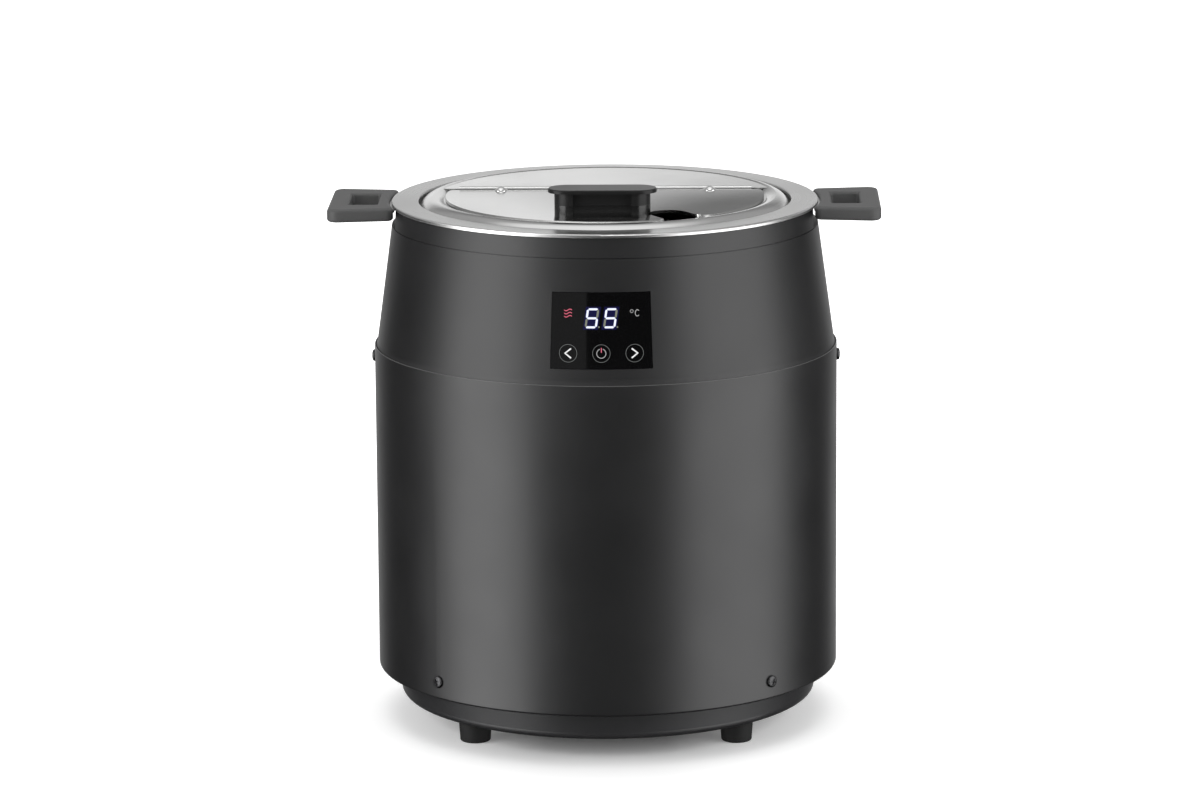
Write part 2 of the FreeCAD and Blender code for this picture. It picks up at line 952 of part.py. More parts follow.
def build_ribbon_cable():
    """A flat cable from the control board down the front and back to the power board."""
    body = new_body("ribbon_cable")
    front = board_sheet + socket_length * 0.5 - panel_board_depth - panel_board_height * 0.5 * cone_slope
    back = front + ribbon_sheet
    top = panel_middle - panel_board_height * 0.5 - ribbon_drop
    end = power_board_near + board_part_inset + socket_length * 0.5
    under = ribbon_level
    over = under + ribbon_sheet
    small = ribbon_bend
    large = ribbon_bend + ribbon_sheet
    sketch = new_sketch(body, "YZ_Plane", (0, 0, ribbon_place))
    trace(sketch, [
        (front, top),
        (front, under + large, large),
        (front + large, under),
        (end - small, under, -small),
        (end, under - small),
        (end, board_top + socket_height),
        (end + ribbon_sheet, board_top + socket_height),
        (end + ribbon_sheet, under - small, large),
        (end - small, over),
        (back + small, over, -small),
        (back, over + small),
        (back, top)])
    pad(body, sketch, ribbon_width, both=True)
    return body


# The water well and its heater

def build_water_well():
    """A drawn pan, lapped into a flanged rim ring and welded to it."""
    outside = well_radius + well_sheet
    pan = turned("water_well", [
        (0, well_bottom),
        (outside - well_corner, well_bottom, well_corner),
        (outside, well_bottom + well_corner),
        (outside, well_wall_top),
        (well_radius, well_wall_top),
        (well_radius, well_bottom + well_corner, well_sheet - well_corner),
        (outside - well_corner, well_bottom + well_sheet),
        (0, well_bottom + well_sheet)])
    inside = outside + bolt_gap
    rim = turned("well_rim", [
        (inside, well_rim_foot),
        (inside + well_sheet, well_rim_foot),
        (inside + well_sheet, well_rim),
        (well_rim_radius, well_rim),
        (well_rim_radius, well_rim + well_sheet),
        (inside, well_rim + well_sheet)])
    return [pan, rim]


def ring(label, inner, outer, bottom, top):
    return turned(label, [(inner, bottom), (outer, bottom), (outer, top), (inner, top)])


terminal_places = [(-terminal_place, terminal_back), (terminal_place, terminal_back)]


def build_heater():
    rod_hole = rod_radius + bolt_gap
    seal = ring("well_seal", collar_bore + seal_inset, well_rim_radius, seal_bottom, well_rim)
    plate = ring("heating_plate", rod_hole, plate_radius, plate_bottom, well_bottom)
    upright_holes(plate, [(0, -sensor_circle)], sensor_radius + bolt_gap)
    element = new_body("heating_element")
    section = new_sketch(element, "YZ_Plane")
    half = element_width * 0.5
    corner = element_height * 0.4
    trace(section, [
        (-element_circle - half, plate_bottom),
        (-element_circle - half, element_bottom + corner, corner),
        (-element_circle - half + corner, element_bottom),
        (-element_circle + half - corner, element_bottom, corner),
        (-element_circle + half, element_bottom + corner),
        (-element_circle + half, plate_bottom)])
    turn(element, section, degrees=element_angle)
    pins = new_sketch(element, "XY_Plane", (0, 0, element_bottom + element_height * 0.5))
    for x, y in terminal_places:
        circle(pins, x, y, pin_radius)
    pad(element, pins, pin_length + element_height * 0.5, back=True)
    spacer = ring("rod_spacer", rod_hole, spacer_radius, shield_top, plate_bottom)
    shield = ring("heat_shield", rod_hole, shield_radius, shield_bottom, shield_top)
    upright_holes(shield, terminal_places, pin_radius * 3)
    upright_holes(shield, [(0, -sensor_circle)], sensor_radius * 2)
    rod = ring("tie_rod", as_size(0), rod_radius, pan_bottom - rod_tail, well_bottom)
    nuts = hex_group("tie_nuts", [(0, 0), (0, 0)], [pan_bottom - nut_height, shield_bottom - nut_height],
                     nut_radius, nut_height, rod_hole)
    return [seal, plate, element, spacer, shield, rod, nuts]


def build_sensors():
    sensor = turned_group("temperature_sensor", [(0, -sensor_circle)], [
        (0, plate_bottom - sensor_length), (sensor_radius * 0.7, plate_bottom - sensor_length),
        (sensor_radius * 0.7, plate_bottom - sensor_flange),
        (sensor_radius * 1.6, plate_bottom - sensor_flange),
        (sensor_radius * 1.6, plate_bottom), (sensor_radius, plate_bottom),
        (sensor_radius, well_bottom), (0, well_bottom)])
    fuse = turned_group("thermal_cutout", [(sensor_circle, 0)], [
        (0, plate_bottom - fuse_height), (fuse_radius * 0.8, plate_bottom - fuse_height),
        (fuse_radius * 0.8, plate_bottom - sensor_flange), (fuse_radius, plate_bottom - sensor_flange),
        (fuse_radius, plate_bottom), (0, plate_bottom)])
    leads = turned_group("heater_leads", terminal_places, [
        (0, board_top + terminal_height), (lead_radius, board_top + terminal_height),
        (lead_radius, pin_end), (0, pin_end)])
    inside = well_radius + well_sheet + fit_gap
    wool = ring("insulation_sleeve", inside, inside + wool_thickness, well_bottom + wool_foot,
                well_bottom + wool_foot + wool_height)
    return [sensor, fuse, leads, wool]


# The pot

def build_pot():
    outside = pot_radius + pot_sheet
    mouth_back = pot_mouth + pot_sheet
    lip_inside = flange_radius - pot_sheet
    return turned("pot", [
        (0, pot_bottom),
        (outside - pot_corner, pot_bottom, pot_corner),
        (outside, pot_bottom + pot_corner),
        (outside, ledge - pot_sheet),
        (mouth_back, ledge - pot_sheet),
        (mouth_back, flange_bottom),
        (lip_inside, flange_bottom),
        (lip_inside, lip_bottom),
        (flange_radius, lip_bottom),
        (flange_radius, flange_top - flange_edge, flange_edge),
        (flange_radius - flange_edge, flange_top),
        (pot_mouth + flange_edge, flange_top, flange_edge),
        (pot_mouth, flange_top - flange_edge),
        (pot_mouth, ledge),
        (pot_radius, ledge),
        (pot_radius, pot_bottom + pot_corner, pot_sheet - pot_corner),
        (outside - pot_corner, pot_bottom + pot_sheet),
        (0, pot_bottom + pot_sheet)])


grip_bottom = flange_top - grip_thickness
bracket_middle = lip_bottom - bracket_sheet * 0.5


def frame_points(slack):
    """Outer and inner outline of the loop-shaped bracket, grown by a slack on every side."""
    width = bracket_half_width + slack
    outer = box_points(bracket_start - slack, bracket_end + slack, -width, width)
    hole_width = bracket_half_width - bracket_arm - slack
    inner = box_points(grip_hole_start - bracket_lead + slack, bracket_end - bracket_arm - slack,
                       -hole_width, hole_width)
    return outer, inner


def build_bracket(label, turned_round):
    """A loop-shaped plate, welded under the flange's lip and buried in the grip."""
    body = new_body(label)
    sketch = new_sketch(body, "XY_Plane", (0, 0, bracket_middle))
    for loop in frame_points(as_size(0)):
        trace(sketch, loop)
    pad(body, sketch, bracket_sheet, both=True)
    if turned_round:
        body.Placement.Rotation = FreeCAD.Rotation(Vector(0, 0, 1), 180)
    return body


def build_grip(label, turned_round):
    body = new_body(label)
    start = flange_radius + grip_start_gap
    inner_half = grip_inner_width * 0.5
    outer_half = grip_outer_width * 0.5
    corner_x = half_chord(start, inner_half)
    sketch = new_sketch(body, "XY_Plane", (0, 0, grip_bottom))
    trace(sketch, [
        (corner_x, -inner_half),
        (grip_end, -outer_half),
        (grip_end, outer_half),
        (corner_x, inner_half, -start)])
    hole_half = grip_hole_width * 0.5
    trace(sketch, box_points(grip_hole_start, grip_hole_end, -hole_half, hole_half))
    pad(body, sketch, grip_thickness)
    outer_end = grip_end.value - grip_edge.value
    hole_reach = hole_half.value + grip_edge.value
    round_edges(body, grip_corner, lambda edge, middle: is_upright(edge) and middle.x > outer_end)
    inner_end = grip_hole_start.value - grip_edge.value
    round_edges(body, grip_inner_corner, lambda edge, middle: is_upright(edge) and middle.x < inner_end)
    round_edges(body, grip_edge, lambda edge, middle: is_upright(edge) and abs(middle.y) < hole_reach)
    round_edges(body, grip_edge, lambda edge, middle: edge.BoundBox.ZLength < 0.01)
    slot = new_sketch(body, "XY_Plane", (0, 0, bracket_middle))
    for loop in frame_points(bolt_gap):
        trace(slot, loop)
    cut(body, slot, bracket_sheet + bolt_gap * 2, both=True)
    if turned_round:
        body.Placement.Rotation = FreeCAD.Rotation(Vector(0, 0, 1), 180)
    return body


# The lid

def build_lid_plate():
    """A drawn ring with a bead and a shelf for the flap, and a fixed rear half."""
    shoulder = flange_top - bead_shoulder
    body = turned("lid_plate", [
        (lid_radius - lid_sheet, lid_foot),
        (lid_radius, lid_foot),
        (lid_radius, shoulder, bead_bend),
        (bead_radius, bead_top, bead_inner_bend),
        (shelf_outer, shelf_top),
        (shelf_inner, shelf_top),
        (shelf_inner, shelf_top - lid_sheet),
        (shelf_outer, shelf_top - lid_sheet, lid_sheet - bead_inner_bend),
        (bead_radius, bead_top - lid_sheet, lid_sheet - bead_bend),
        (lid_radius - lid_sheet, shoulder)])
    edge = hinge_back + hinge_clear
    radius = shelf_outer + shelf_overlap
    half = half_chord(radius, edge)
    plate = new_sketch(body, "XY_Plane", (0, 0, sheet_bottom))
    trace(plate, [(-half, edge), (half, edge, radius)])
    pad(body, plate, lid_sheet)
    return body


def notch_point(along, across):
    """A point given along and across the ladle notch's own axis."""
    turn_x, turn_y = sine(notch_angle), cosine(notch_angle)
    return (turn_x * along + turn_y * across, turn_x * across - turn_y * along)


def build_lid_flap():
    """A D-shaped sheet with a turned-down hem and a notch for a ladle."""
    body = new_body("lid_flap")
    edge = hinge_back - hinge_clear
    half = half_chord(flap_radius, edge)
    mouth = half_chord(flap_radius, notch_half_width)
    left_mouth = notch_point(mouth, -notch_half_width)
    right_mouth = notch_point(mouth, notch_half_width)
    left_end = notch_point(notch_reach, -notch_half_width)
    right_end = notch_point(notch_reach, notch_half_width)
    tip = notch_point(notch_reach - notch_half_width, as_size(0))
    sketch = new_sketch(body, "XY_Plane", (0, 0, flap_bottom))
    trace(sketch, [
        (half, edge),
        (-half, edge, flap_radius),
        (as_size(0), -flap_radius, flap_radius),
        left_mouth,
        left_end + (-notch_half_width,),
        tip + (-notch_half_width,),
        right_end,
        right_mouth + (flap_radius,)])
    pad(body, sketch, flap_hem)

    def near(place, reach=1.0):
        x, y = place[0].value, place[1].value
        return lambda edge, middle: is_upright(edge) and math.hypot(middle.x - x, middle.y - y) < reach

    round_edges(body, notch_left_round, near(left_mouth))
    round_edges(body, notch_right_round, near(right_mouth))
    round_edges(body, flap_corner, near((half, edge)))
    round_edges(body, flap_corner, near((-half, edge)))
    doc.recompute()
    under = [i for i, face in enumerate(body.Tip.Shape.Faces)
             if face.BoundBox.ZLength < 1e-6 and abs(face.CenterOfMass.z - flap_bottom.value) < 1e-6]
    before = body.Tip
    hollow = body.newObject("PartDesign::Thickness", "lid_flap_thickness")
    hollow.Base = (before, ["Face%d" % (under[0] + 1)])
    hollow.Reversed = True
    bind(hollow, "Value", lid_sheet)
    body.Tip = hollow
    rear = new_sketch(body, "XY_Plane", (0, 0, flap_bottom))
    trace(rear, box_points(-hinge_half_length - lid_sheet, hinge_half_length + lid_sheet,
                           edge - leaf_width, edge + lid_sheet))
    cut(body, rear, flap_hem - lid_sheet, back=True)
    upright_holes(body, rivet_places, rivet_radius + bolt_gap)
    upright_holes(body, handle_bolt_places, handle_bolt_radius + bolt_gap)
    return body


rivet_places = [(-rivet_place, hinge_back - rivet_front), (rivet_place, hinge_back - rivet_front)]
handle_bolt_places = [(-handle_bolt_place, -handle_front), (handle_bolt_place, -handle_front)]
KNUCKLES = 17


def build_hinge_leaf(label, side, kept):
    """Half of the butt hinge: a strip with a rolled barrel, cut away at the other half's knuckles."""
    body = new_body(label)
    mate = root(barrel_radius * barrel_radius - (barrel_radius - lid_sheet) * (barrel_radius - lid_sheet))
    leaf_top = leaf_bottom + lid_sheet
    barrel_top = leaf_bottom + barrel_radius * 2
    bend = barrel_radius * -side
    sketch = new_sketch(body, "YZ_Plane")
    trace(sketch, [
        (hinge_back + leaf_width * side, leaf_bottom),
        (hinge_back, leaf_bottom, bend),
        (hinge_back - barrel_radius * side, hinge_level, bend),
        (hinge_back, barrel_top, bend),
        (hinge_back + mate * side, leaf_top),
        (hinge_back + leaf_width * side, leaf_top)])
    circle(sketch, hinge_back, hinge_level, hinge_pin_radius + bolt_gap)
    pad(body, sketch, hinge_half_length * 2, both=True)
    pitch = hinge_half_length * 2 / KNUCKLES
    slots = new_sketch(body, "XY_Plane")
    for index in range(KNUCKLES):
        if index % 2 == kept:
            continue
        start = -hinge_half_length + pitch * index
        low = start - (knuckle_gap * 0.5 if index > 0 else lid_sheet)
        high = start + pitch + (knuckle_gap * 0.5 if index < KNUCKLES - 1 else lid_sheet)
        trace(slots, box_points(low, high, hinge_back - hinge_clear, hinge_back + hinge_clear))
    cut_through(body, slots)
    return body


def build_hinge():
    fixed = build_hinge_leaf("hinge_leaf_lid", 1, 0)
    moving = build_hinge_leaf("hinge_leaf_flap", -1, 1)
    upright_holes(moving, rivet_places, rivet_radius + bolt_gap)
    rod = new_body("hinge_pin")
    sketch = new_sketch(rod, "YZ_Plane")
    circle(sketch, hinge_back, hinge_level, hinge_pin_radius)
    pad(rod, sketch, hinge_half_length * 2, both=True)
    crown = flap_top + rivet_head_height
    dome = (rivet_head_radius * rivet_head_radius / rivet_head_height + rivet_head_height) * 0.5
    tail = leaf_bottom - rivet_tail
    rivets = turned_group("hinge_rivets", rivet_places, [
        (0, tail), (rivet_tail_radius, tail), (rivet_tail_radius, leaf_bottom),
        (rivet_radius, leaf_bottom), (rivet_radius, flap_top), (rivet_head_radius, flap_top, dome),
        (0, crown)])
    return [fixed, moving, rod, rivets]


def waisted_points():
    """Plan of the handle's pedestal: round ends and a straight recess front and back."""
    straight = handle_half_length - handle_half_depth
    waist = handle_half_depth - handle_recess
    front = -handle_front
    recess = handle_recess_half
    depth = handle_half_depth
    return [
        (-straight, front - depth), (-recess, front - depth), (-recess, front - waist),
        (recess, front - waist), (recess, front - depth),
        (straight, front - depth, depth), (handle_half_length, front, depth),
        (straight, front + depth), (recess, front + depth), (recess, front + waist),
        (-recess, front + waist), (-recess, front + depth),
        (-straight, front + depth, depth), (-handle_half_length, front, depth)]


def build_handle():
    base = new_body("lid_handle_base")
    foot = new_sketch(base, "XY_Plane", (0, 0, flap_top))
    trace(foot, waisted_points())
    pad(base, foot, handle_base_height)
    upright_holes(base, handle_bolt_places, handle_bolt_radius + bolt_gap)
    cap = new_body("lid_handle_cap")
    neck = new_sketch(cap, "XY_Plane", (0, 0, handle_seam))
    trace(neck, waisted_points())
    pad(cap, neck, handle_neck_height)
    straight = handle_plate_half_length - handle_plate_half_depth
    depth = handle_plate_half_depth
    front = -handle_front
    plate = new_sketch(cap, "XY_Plane", (0, 0, handle_neck))
    trace(plate, [
        (-straight, front - depth), (straight, front - depth, depth),
        (handle_plate_half_length, front, depth), (straight, front + depth),
        (-straight, front + depth, depth), (-handle_plate_half_length, front, depth)])
    pad(cap, plate, handle_plate_height)
    plate_top = handle_neck + handle_plate_height
    round_edges(cap, handle_edge, lambda edge, middle: abs(middle.z - plate_top.value) < 1e-4)
    bores = new_sketch(cap, "XY_Plane", (0, 0, handle_seam))
    for x, y in handle_bolt_places:
        circle(bores, x, y, handle_bolt_radius + bolt_gap)
    cut(cap, bores, handle_neck_height, back=True)
    screws = turned_group("lid_handle_screws", handle_bolt_places,
                          pan_head(sheet_bottom, sheet_bottom + handle_bolt_length, handle_bolt_radius,
                                   screw_head_radius, screw_head_height))
    return [base, cap, screws]


nodes = [build_base_pan(), build_cable_gland()]
nodes += build_feet()
nodes += build_foot_fasteners()
nodes += [build_lower_shell()]
nodes += build_side_screws()
nodes += [build_upper_housing(), build_top_collar(), build_collar_screws()]
nodes += [build_control_panel(), build_control_board(), build_display_module(), build_key_springs()]
nodes += [build_power_board()]
nodes += build_board_parts()
nodes += [build_ribbon_cable()]
nodes += build_water_well()
nodes += build_heater()
nodes += build_sensors()
nodes += [build_pot()]
nodes += [build_bracket("pot_bracket_right", False), build_bracket("pot_bracket_left", True)]
nodes += [build_grip("pot_grip_right", False), build_grip("pot_grip_left", True)]
nodes += [build_lid_plate(), build_lid_flap()]
nodes += build_hinge()
nodes += build_handle()
doc.recompute()

for thing in doc.Objects:
    if "Invalid" in thing.State or "Error" in thing.State:
        raise RuntimeError("%s does not build: %s" % (thing.Name, thing.State))

os.makedirs("parts", exist_ok=True)
for node in nodes:
    if not node.Shape.isValid() or not node.Shape.Solids:
        raise RuntimeError("%s has no valid solid" % node.Label)
    node.Shape.exportStep("parts/%s.step" % node.Label)
    print("%-20s %2d solids %12.1f mm3" % (node.Label, len(node.Shape.Solids), node.Shape.Volume))
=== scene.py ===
import math

import bmesh
import bpy
from mathutils import Matrix, Vector


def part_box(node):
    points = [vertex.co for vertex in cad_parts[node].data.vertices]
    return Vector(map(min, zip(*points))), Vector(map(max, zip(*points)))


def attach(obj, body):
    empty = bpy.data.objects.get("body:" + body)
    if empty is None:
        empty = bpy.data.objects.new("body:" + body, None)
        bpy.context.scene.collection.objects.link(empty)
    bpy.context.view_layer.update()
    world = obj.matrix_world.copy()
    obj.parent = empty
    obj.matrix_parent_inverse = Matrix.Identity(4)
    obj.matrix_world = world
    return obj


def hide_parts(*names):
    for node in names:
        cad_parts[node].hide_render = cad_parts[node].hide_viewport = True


bl_info = {
    "name": "Soup Kettle",
    "version": (1, 0, 0),
    "blender": (4, 5, 0),
    "location": "View3D > Sidebar > Kettle",
    "description": "Finishes, screws, signs and stage for a heated soup kettle",
    "category": "Object",
}

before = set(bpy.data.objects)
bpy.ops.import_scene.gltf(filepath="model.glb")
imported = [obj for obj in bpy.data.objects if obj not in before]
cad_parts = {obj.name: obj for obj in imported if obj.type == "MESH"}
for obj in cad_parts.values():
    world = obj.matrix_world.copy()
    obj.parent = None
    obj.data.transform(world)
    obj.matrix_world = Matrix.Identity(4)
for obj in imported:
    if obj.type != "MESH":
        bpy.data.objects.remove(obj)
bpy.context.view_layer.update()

PANEL_LOW, PANEL_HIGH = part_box("control_panel")
SHELL_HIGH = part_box("lower_shell")[1]
SIDE_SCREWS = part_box("shell_screws")
SHOULDER_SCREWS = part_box("shoulder_screws")
HANDLE_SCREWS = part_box("lid_handle_screws")
FOOT_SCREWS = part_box("foot_screws")


def length(name, description, default):
    return bpy.props.FloatProperty(name=name, description=description, default=default, unit="LENGTH",
                                   precision=5)


def colour(name, description, default):
    return bpy.props.FloatVectorProperty(name=name, description=description, default=default,
                                         subtype="COLOR", size=3, min=0.0, max=1.0)


def amount(name, description, default):
    return bpy.props.FloatProperty(name=name, description=description, default=default, min=0.0)


class KettleSizes(bpy.types.PropertyGroup):
    """Sizes of the small pieces that are made here."""

    shell_radius: length("Shell radius", "Outside radius that the side screws sit on", SHELL_HIGH[0])
    edge_bead: length("Edge bead", "Half thickness of the bead on the shell's top edge", 0.00042)
    panel_radius: length("Panel radius", "Radius of the panel at its lower edge", -PANEL_LOW[1])
    panel_lean: amount("Panel lean", "How far the panel steps back per length of height", 0.13684)
    panel_middle: length("Panel middle", "Level of the panel's middle", (PANEL_LOW[2] + PANEL_HIGH[2]) / 2)
    sign_height: length("Sign height", "How far the printed signs stand proud", 0.00006)
    digit_height: length("Digit height", "Height of a display digit", 0.0128)
    digit_width: length("Digit width", "Width of a display digit", 0.0079)
    digit_pitch: length("Digit pitch", "Distance between the digits", 0.0119)
    digit_stroke: length("Digit stroke", "Width of a display segment", 0.0013)
    digit_slant: amount("Digit slant", "Sideways lean of the digits per height", 0.14)
    digit_rise: length("Digit rise", "Display above the panel's middle", 0.0081)
    halo_width: length("Halo width", "Glow of a digit beyond its bars", 0.0009)
    dot_radius: length("Dot radius", "Radius of the point beside a digit", 0.00055)
    icon_rise: length("Icon rise", "Icons above the panel's middle", 0.0112)
    icon_place: length("Icon place", "Icons to each side of the middle", 0.0213)
    wave_width: length("Wave width", "Width of the heat sign", 0.005)
    wave_pitch: length("Wave pitch", "Distance between the waves of the heat sign", 0.002)
    wave_depth: length("Wave depth", "Rise and fall of a wave", 0.0006)
    wave_stroke: length("Wave stroke", "Line width of the heat sign", 0.00042)
    degree_left: length("Degree left", "Degree ring to the left of its icon's middle", 0.0017)
    degree_rise: length("Degree rise", "Degree ring above its icon's middle", 0.0012)
    degree_radius: length("Degree radius", "Radius of the degree ring", 0.00095)
    degree_stroke: length("Degree stroke", "Line width of the degree ring", 0.00024)
    letter_right: length("Letter right", "Letter to the right of its icon's middle", 0.0019)
    letter_radius: length("Letter radius", "Half the height of the letter", 0.002)
    letter_narrow: amount("Letter narrow", "Width of the letter as a share of its height", 0.68)
    letter_stroke: length("Letter stroke", "Line width of the letter", 0.00036)
    key_drop: length("Key drop", "Touch keys below the panel's middle", 0.0144)
    key_pitch: length("Key pitch", "Distance between touch keys", 0.0214)
    key_radius: length("Key radius", "Radius of a touch key's ring", 0.00565)
    ring_stroke: length("Ring stroke", "Line width of a touch key's ring", 0.00028)
    arrow_reach: length("Arrow reach", "Half the width of an arrow", 0.002)
    arrow_rise: length("Arrow rise", "Half the height of an arrow", 0.003)
    arrow_stroke: length("Arrow stroke", "Line width of an arrow", 0.00105)
    power_radius: length("Power radius", "Radius of the power sign's open ring", 0.00295)
    power_stroke: length("Power stroke", "Line width of the power sign", 0.00042)
    power_bar_low: length("Power bar low", "Foot of the power sign's bar above the key's middle", 0.0006)
    power_bar_high: length("Power bar high", "Top of the power sign's bar above the key's middle", 0.0036)
    screw_head: length("Screw head", "Radius of a screw head", 0.004)
    screw_rise: length("Screw rise", "Height of a screw head", 0.0022)
    screw_shank: length("Screw shank", "Radius of a screw's shank", 0.002)
    side_shank: length("Side shank", "Length of a side screw under its head", 0.009)
    handle_shank: length("Handle shank", "Length of a handle screw under its head", 0.013)


class KettleColours(bpy.types.PropertyGroup):
    """Colours that a user would change."""

    paint: colour("Shell paint", "Satin black powder coat of the lower shell", (0.0095, 0.0095, 0.010))
    moulding: colour("Housing", "Black moulding of the housing, collar and base", (0.0085, 0.0085, 0.009))
    # The edge colour is a painted highlight: much lighter than the shell paint, it stands in for the light
    # that the shell's rounded top edge catches.
    edge: colour("Edge", "Lighter coat on the cut edge of the shell", (0.06, 0.06, 0.06))
    rubber: colour("Rubber", "Black rubber of the feet", (0.012, 0.012, 0.012))
    gland: colour("Gland", "Nylon of the cable gland", (0.014, 0.014, 0.014))
    panel: colour("Panel", "Gloss black of the control panel", (0.002, 0.002, 0.0022))
    grip: colour("Grip", "Dark grey of the pot grips", (0.062, 0.062, 0.062))
    handle: colour("Handle", "Black of the lid handle", (0.012, 0.012, 0.012))
    steel: colour("Steel", "Stainless steel of the pot and the lid", (0.63, 0.63, 0.625))
    nickel: colour("Nickel", "Dark nickel of the side screws", (0.07, 0.07, 0.072))
    zinc: colour("Zinc", "Zinc of the screws underneath", (0.6, 0.6, 0.6))
    lit: colour("Lit segment", "Lit display segments", (0.80, 0.84, 1.0))
    unlit: colour("Unlit segment", "Unlit display segments", (0.20, 0.21, 0.15))
    halo: colour("Halo", "Dim glow between the bars of a digit", (0.002, 0.002, 0.045))
    heat: colour("Heat sign", "Heat sign of the display", (0.62, 0.10, 0.16))
    degrees: colour("Degrees sign", "Degrees sign of the display", (0.62, 0.62, 0.62))
    key_ring: colour("Key ring", "Rings of the touch keys", (0.16, 0.17, 0.165))
    arrow: colour("Arrow", "Arrows of the touch keys", (0.93, 0.93, 0.93))
    power: colour("Power sign", "Open ring of the power sign", (0.50, 0.50, 0.50))
    power_bar: colour("Power bar", "Bar of the power sign", (0.80, 0.16, 0.24))


class KettleSettings(bpy.types.PropertyGroup):
    """All the settings of the kettle."""

    sizes: bpy.props.PointerProperty(type=KettleSizes)
    colours: bpy.props.PointerProperty(type=KettleColours)


def settings():
    return bpy.context.scene.kettle


# Shared shader effects

BRUSH_LINES = 2600.0
BRUSH_STRETCH = 14.0
BRUSH_BUMP = 0.3
BRUSH_ROUGH_SPAN = 0.06
STREAK_SHARE = 0.6
GRAIN_BUMP = 0.35
GRAIN_ROUGH_SPAN = 0.03


def new_group(name, inputs, outputs):
    group = bpy.data.node_groups.new(name, "ShaderNodeTree")
    for label, value in inputs:
        socket = group.interface.new_socket(label, in_out="INPUT", socket_type="NodeSocketFloat")
        socket.default_value = value
    for label in outputs:
        group.interface.new_socket(label, in_out="OUTPUT", socket_type="NodeSocketFloat")
    return group, group.nodes.new("NodeGroupInput"), group.nodes.new("NodeGroupOutput")


def add_node(tree, kind, **values):
    node = tree.nodes.new(kind)
    for name, value in values.items():
        setattr(node, name, value)
    return node


def feed(tree, source, socket):
    """Give a socket a number, or link it to another socket."""
    if isinstance(source, (int, float)):
        socket.default_value = source
    else:
        tree.links.new(source, socket)


def math_node(tree, operation, first, second=0.0):
    node = add_node(tree, "ShaderNodeMath", operation=operation)
    feed(tree, first, node.inputs[0])
    feed(tree, second, node.inputs[1])
    return node.outputs[0]


def vector_node(tree, operation, first, second=None):
    """A step on vectors, which gives a value for LENGTH and a vector for the rest."""
    node = add_node(tree, "ShaderNodeVectorMath", operation=operation)
    tree.links.new(first, node.inputs[0])
    if second is not None:
        tree.links.new(second, node.inputs["Scale" if operation == "SCALE" else 1])
    return node.outputs["Value" if operation == "LENGTH" else "Vector"]


def place_parts(tree, kind="Object"):
    """A point's place as one vector, and split into X, Y and Z."""
    place = add_node(tree, "ShaderNodeTexCoord").outputs[kind]
    parts = add_node(tree, "ShaderNodeSeparateXYZ")
    tree.links.new(place, parts.inputs[0])
    return place, parts.outputs


def joined(tree, **parts):
    """One vector from some of X, Y and Z, with the others at zero."""
    node = add_node(tree, "ShaderNodeCombineXYZ")
    for label, source in parts.items():
        tree.links.new(source, node.inputs[label])
    return node.outputs[0]


def noise(tree, vector, scale, detail=3.0, roughness=0.55):
    node = add_node(tree, "ShaderNodeTexNoise")
    tree.links.new(vector, node.inputs["Vector"])
    feed(tree, scale, node.inputs["Scale"])
    node.inputs["Detail"].default_value = detail
    node.inputs["Roughness"].default_value = roughness
    return node.outputs["Fac"]


def make_grain_group():
    """Fine grain of a coat or a mould, and broad soft patches where hands have been."""
    group, start, end = new_group("Fine grain", [("Grain scale", 1500.0), ("Patch scale", 16.0)],
                                  ["Grain", "Patches"])
    place = add_node(group, "ShaderNodeTexCoord").outputs["Object"]
    group.links.new(noise(group, place, start.outputs["Grain scale"], detail=2.0), end.inputs["Grain"])
    group.links.new(noise(group, place, start.outputs["Patch scale"], detail=4.0), end.inputs["Patches"])
    return group


def make_turned_group():
    """Fine lines that run round the upright axis, as turning or polishing leaves them."""
    group, start, end = new_group("Turned lines", [("Lines", BRUSH_LINES), ("Spread", 1.6)],
                                  ["Streak", "Cloud"])
    place, parts = place_parts(group)
    flat = joined(group, X=parts["X"], Y=parts["Y"])
    way = vector_node(group, "NORMALIZE", flat)
    spread = vector_node(group, "SCALE", way, start.outputs["Spread"])
    reach = math_node(group, "ADD", vector_node(group, "LENGTH", flat), parts["Z"])
    lines = math_node(group, "MULTIPLY", reach, start.outputs["Lines"])
    drawn = vector_node(group, "ADD", spread, joined(group, Z=lines))
    group.links.new(noise(group, drawn, 1.0, detail=4.0, roughness=0.7), end.inputs["Streak"])
    group.links.new(noise(group, place, 14.0), end.inputs["Cloud"])
    return group


def make_straight_group():
    """Fine straight lines along the X axis, as belt grinding leaves them."""
    group, start, end = new_group("Straight lines", [("Lines", BRUSH_LINES)], ["Streak", "Cloud"])
    place, parts = place_parts(group)
    lines = start.outputs["Lines"]
    drawn = joined(group, X=math_node(group, "MULTIPLY", parts["X"], BRUSH_STRETCH),
                   Y=math_node(group, "MULTIPLY", parts["Y"], lines),
                   Z=math_node(group, "MULTIPLY", parts["Z"], lines))
    group.links.new(noise(group, drawn, 1.0, detail=4.0, roughness=0.7), end.inputs["Streak"])
    group.links.new(noise(group, place, 11.0), end.inputs["Cloud"])
    return group


def make_twist_group():
    """The slight twist and bow of a thin sheet, which bend what it mirrors."""
    values = [("Slope", 0.0), ("Twist", 0.0), ("Bow", 0.0), ("Middle", 0.0)]
    group, start, end = new_group("Sheet twist", values, ["Height"])
    parts = place_parts(group)[1]
    across = math_node(group, "SUBTRACT", parts["Y"], start.outputs["Middle"])
    bowed = math_node(group, "MULTIPLY", across, start.outputs["Bow"])
    twisted = math_node(group, "ADD", bowed, start.outputs["Twist"])
    turned = math_node(group, "MULTIPLY", parts["X"], twisted)
    slope = math_node(group, "ADD", turned, start.outputs["Slope"])
    group.links.new(math_node(group, "MULTIPLY", across, slope), end.inputs["Height"])
    return group


def shared_group(name, maker):
    found = bpy.data.node_groups.get(name)
    return found if found else maker()


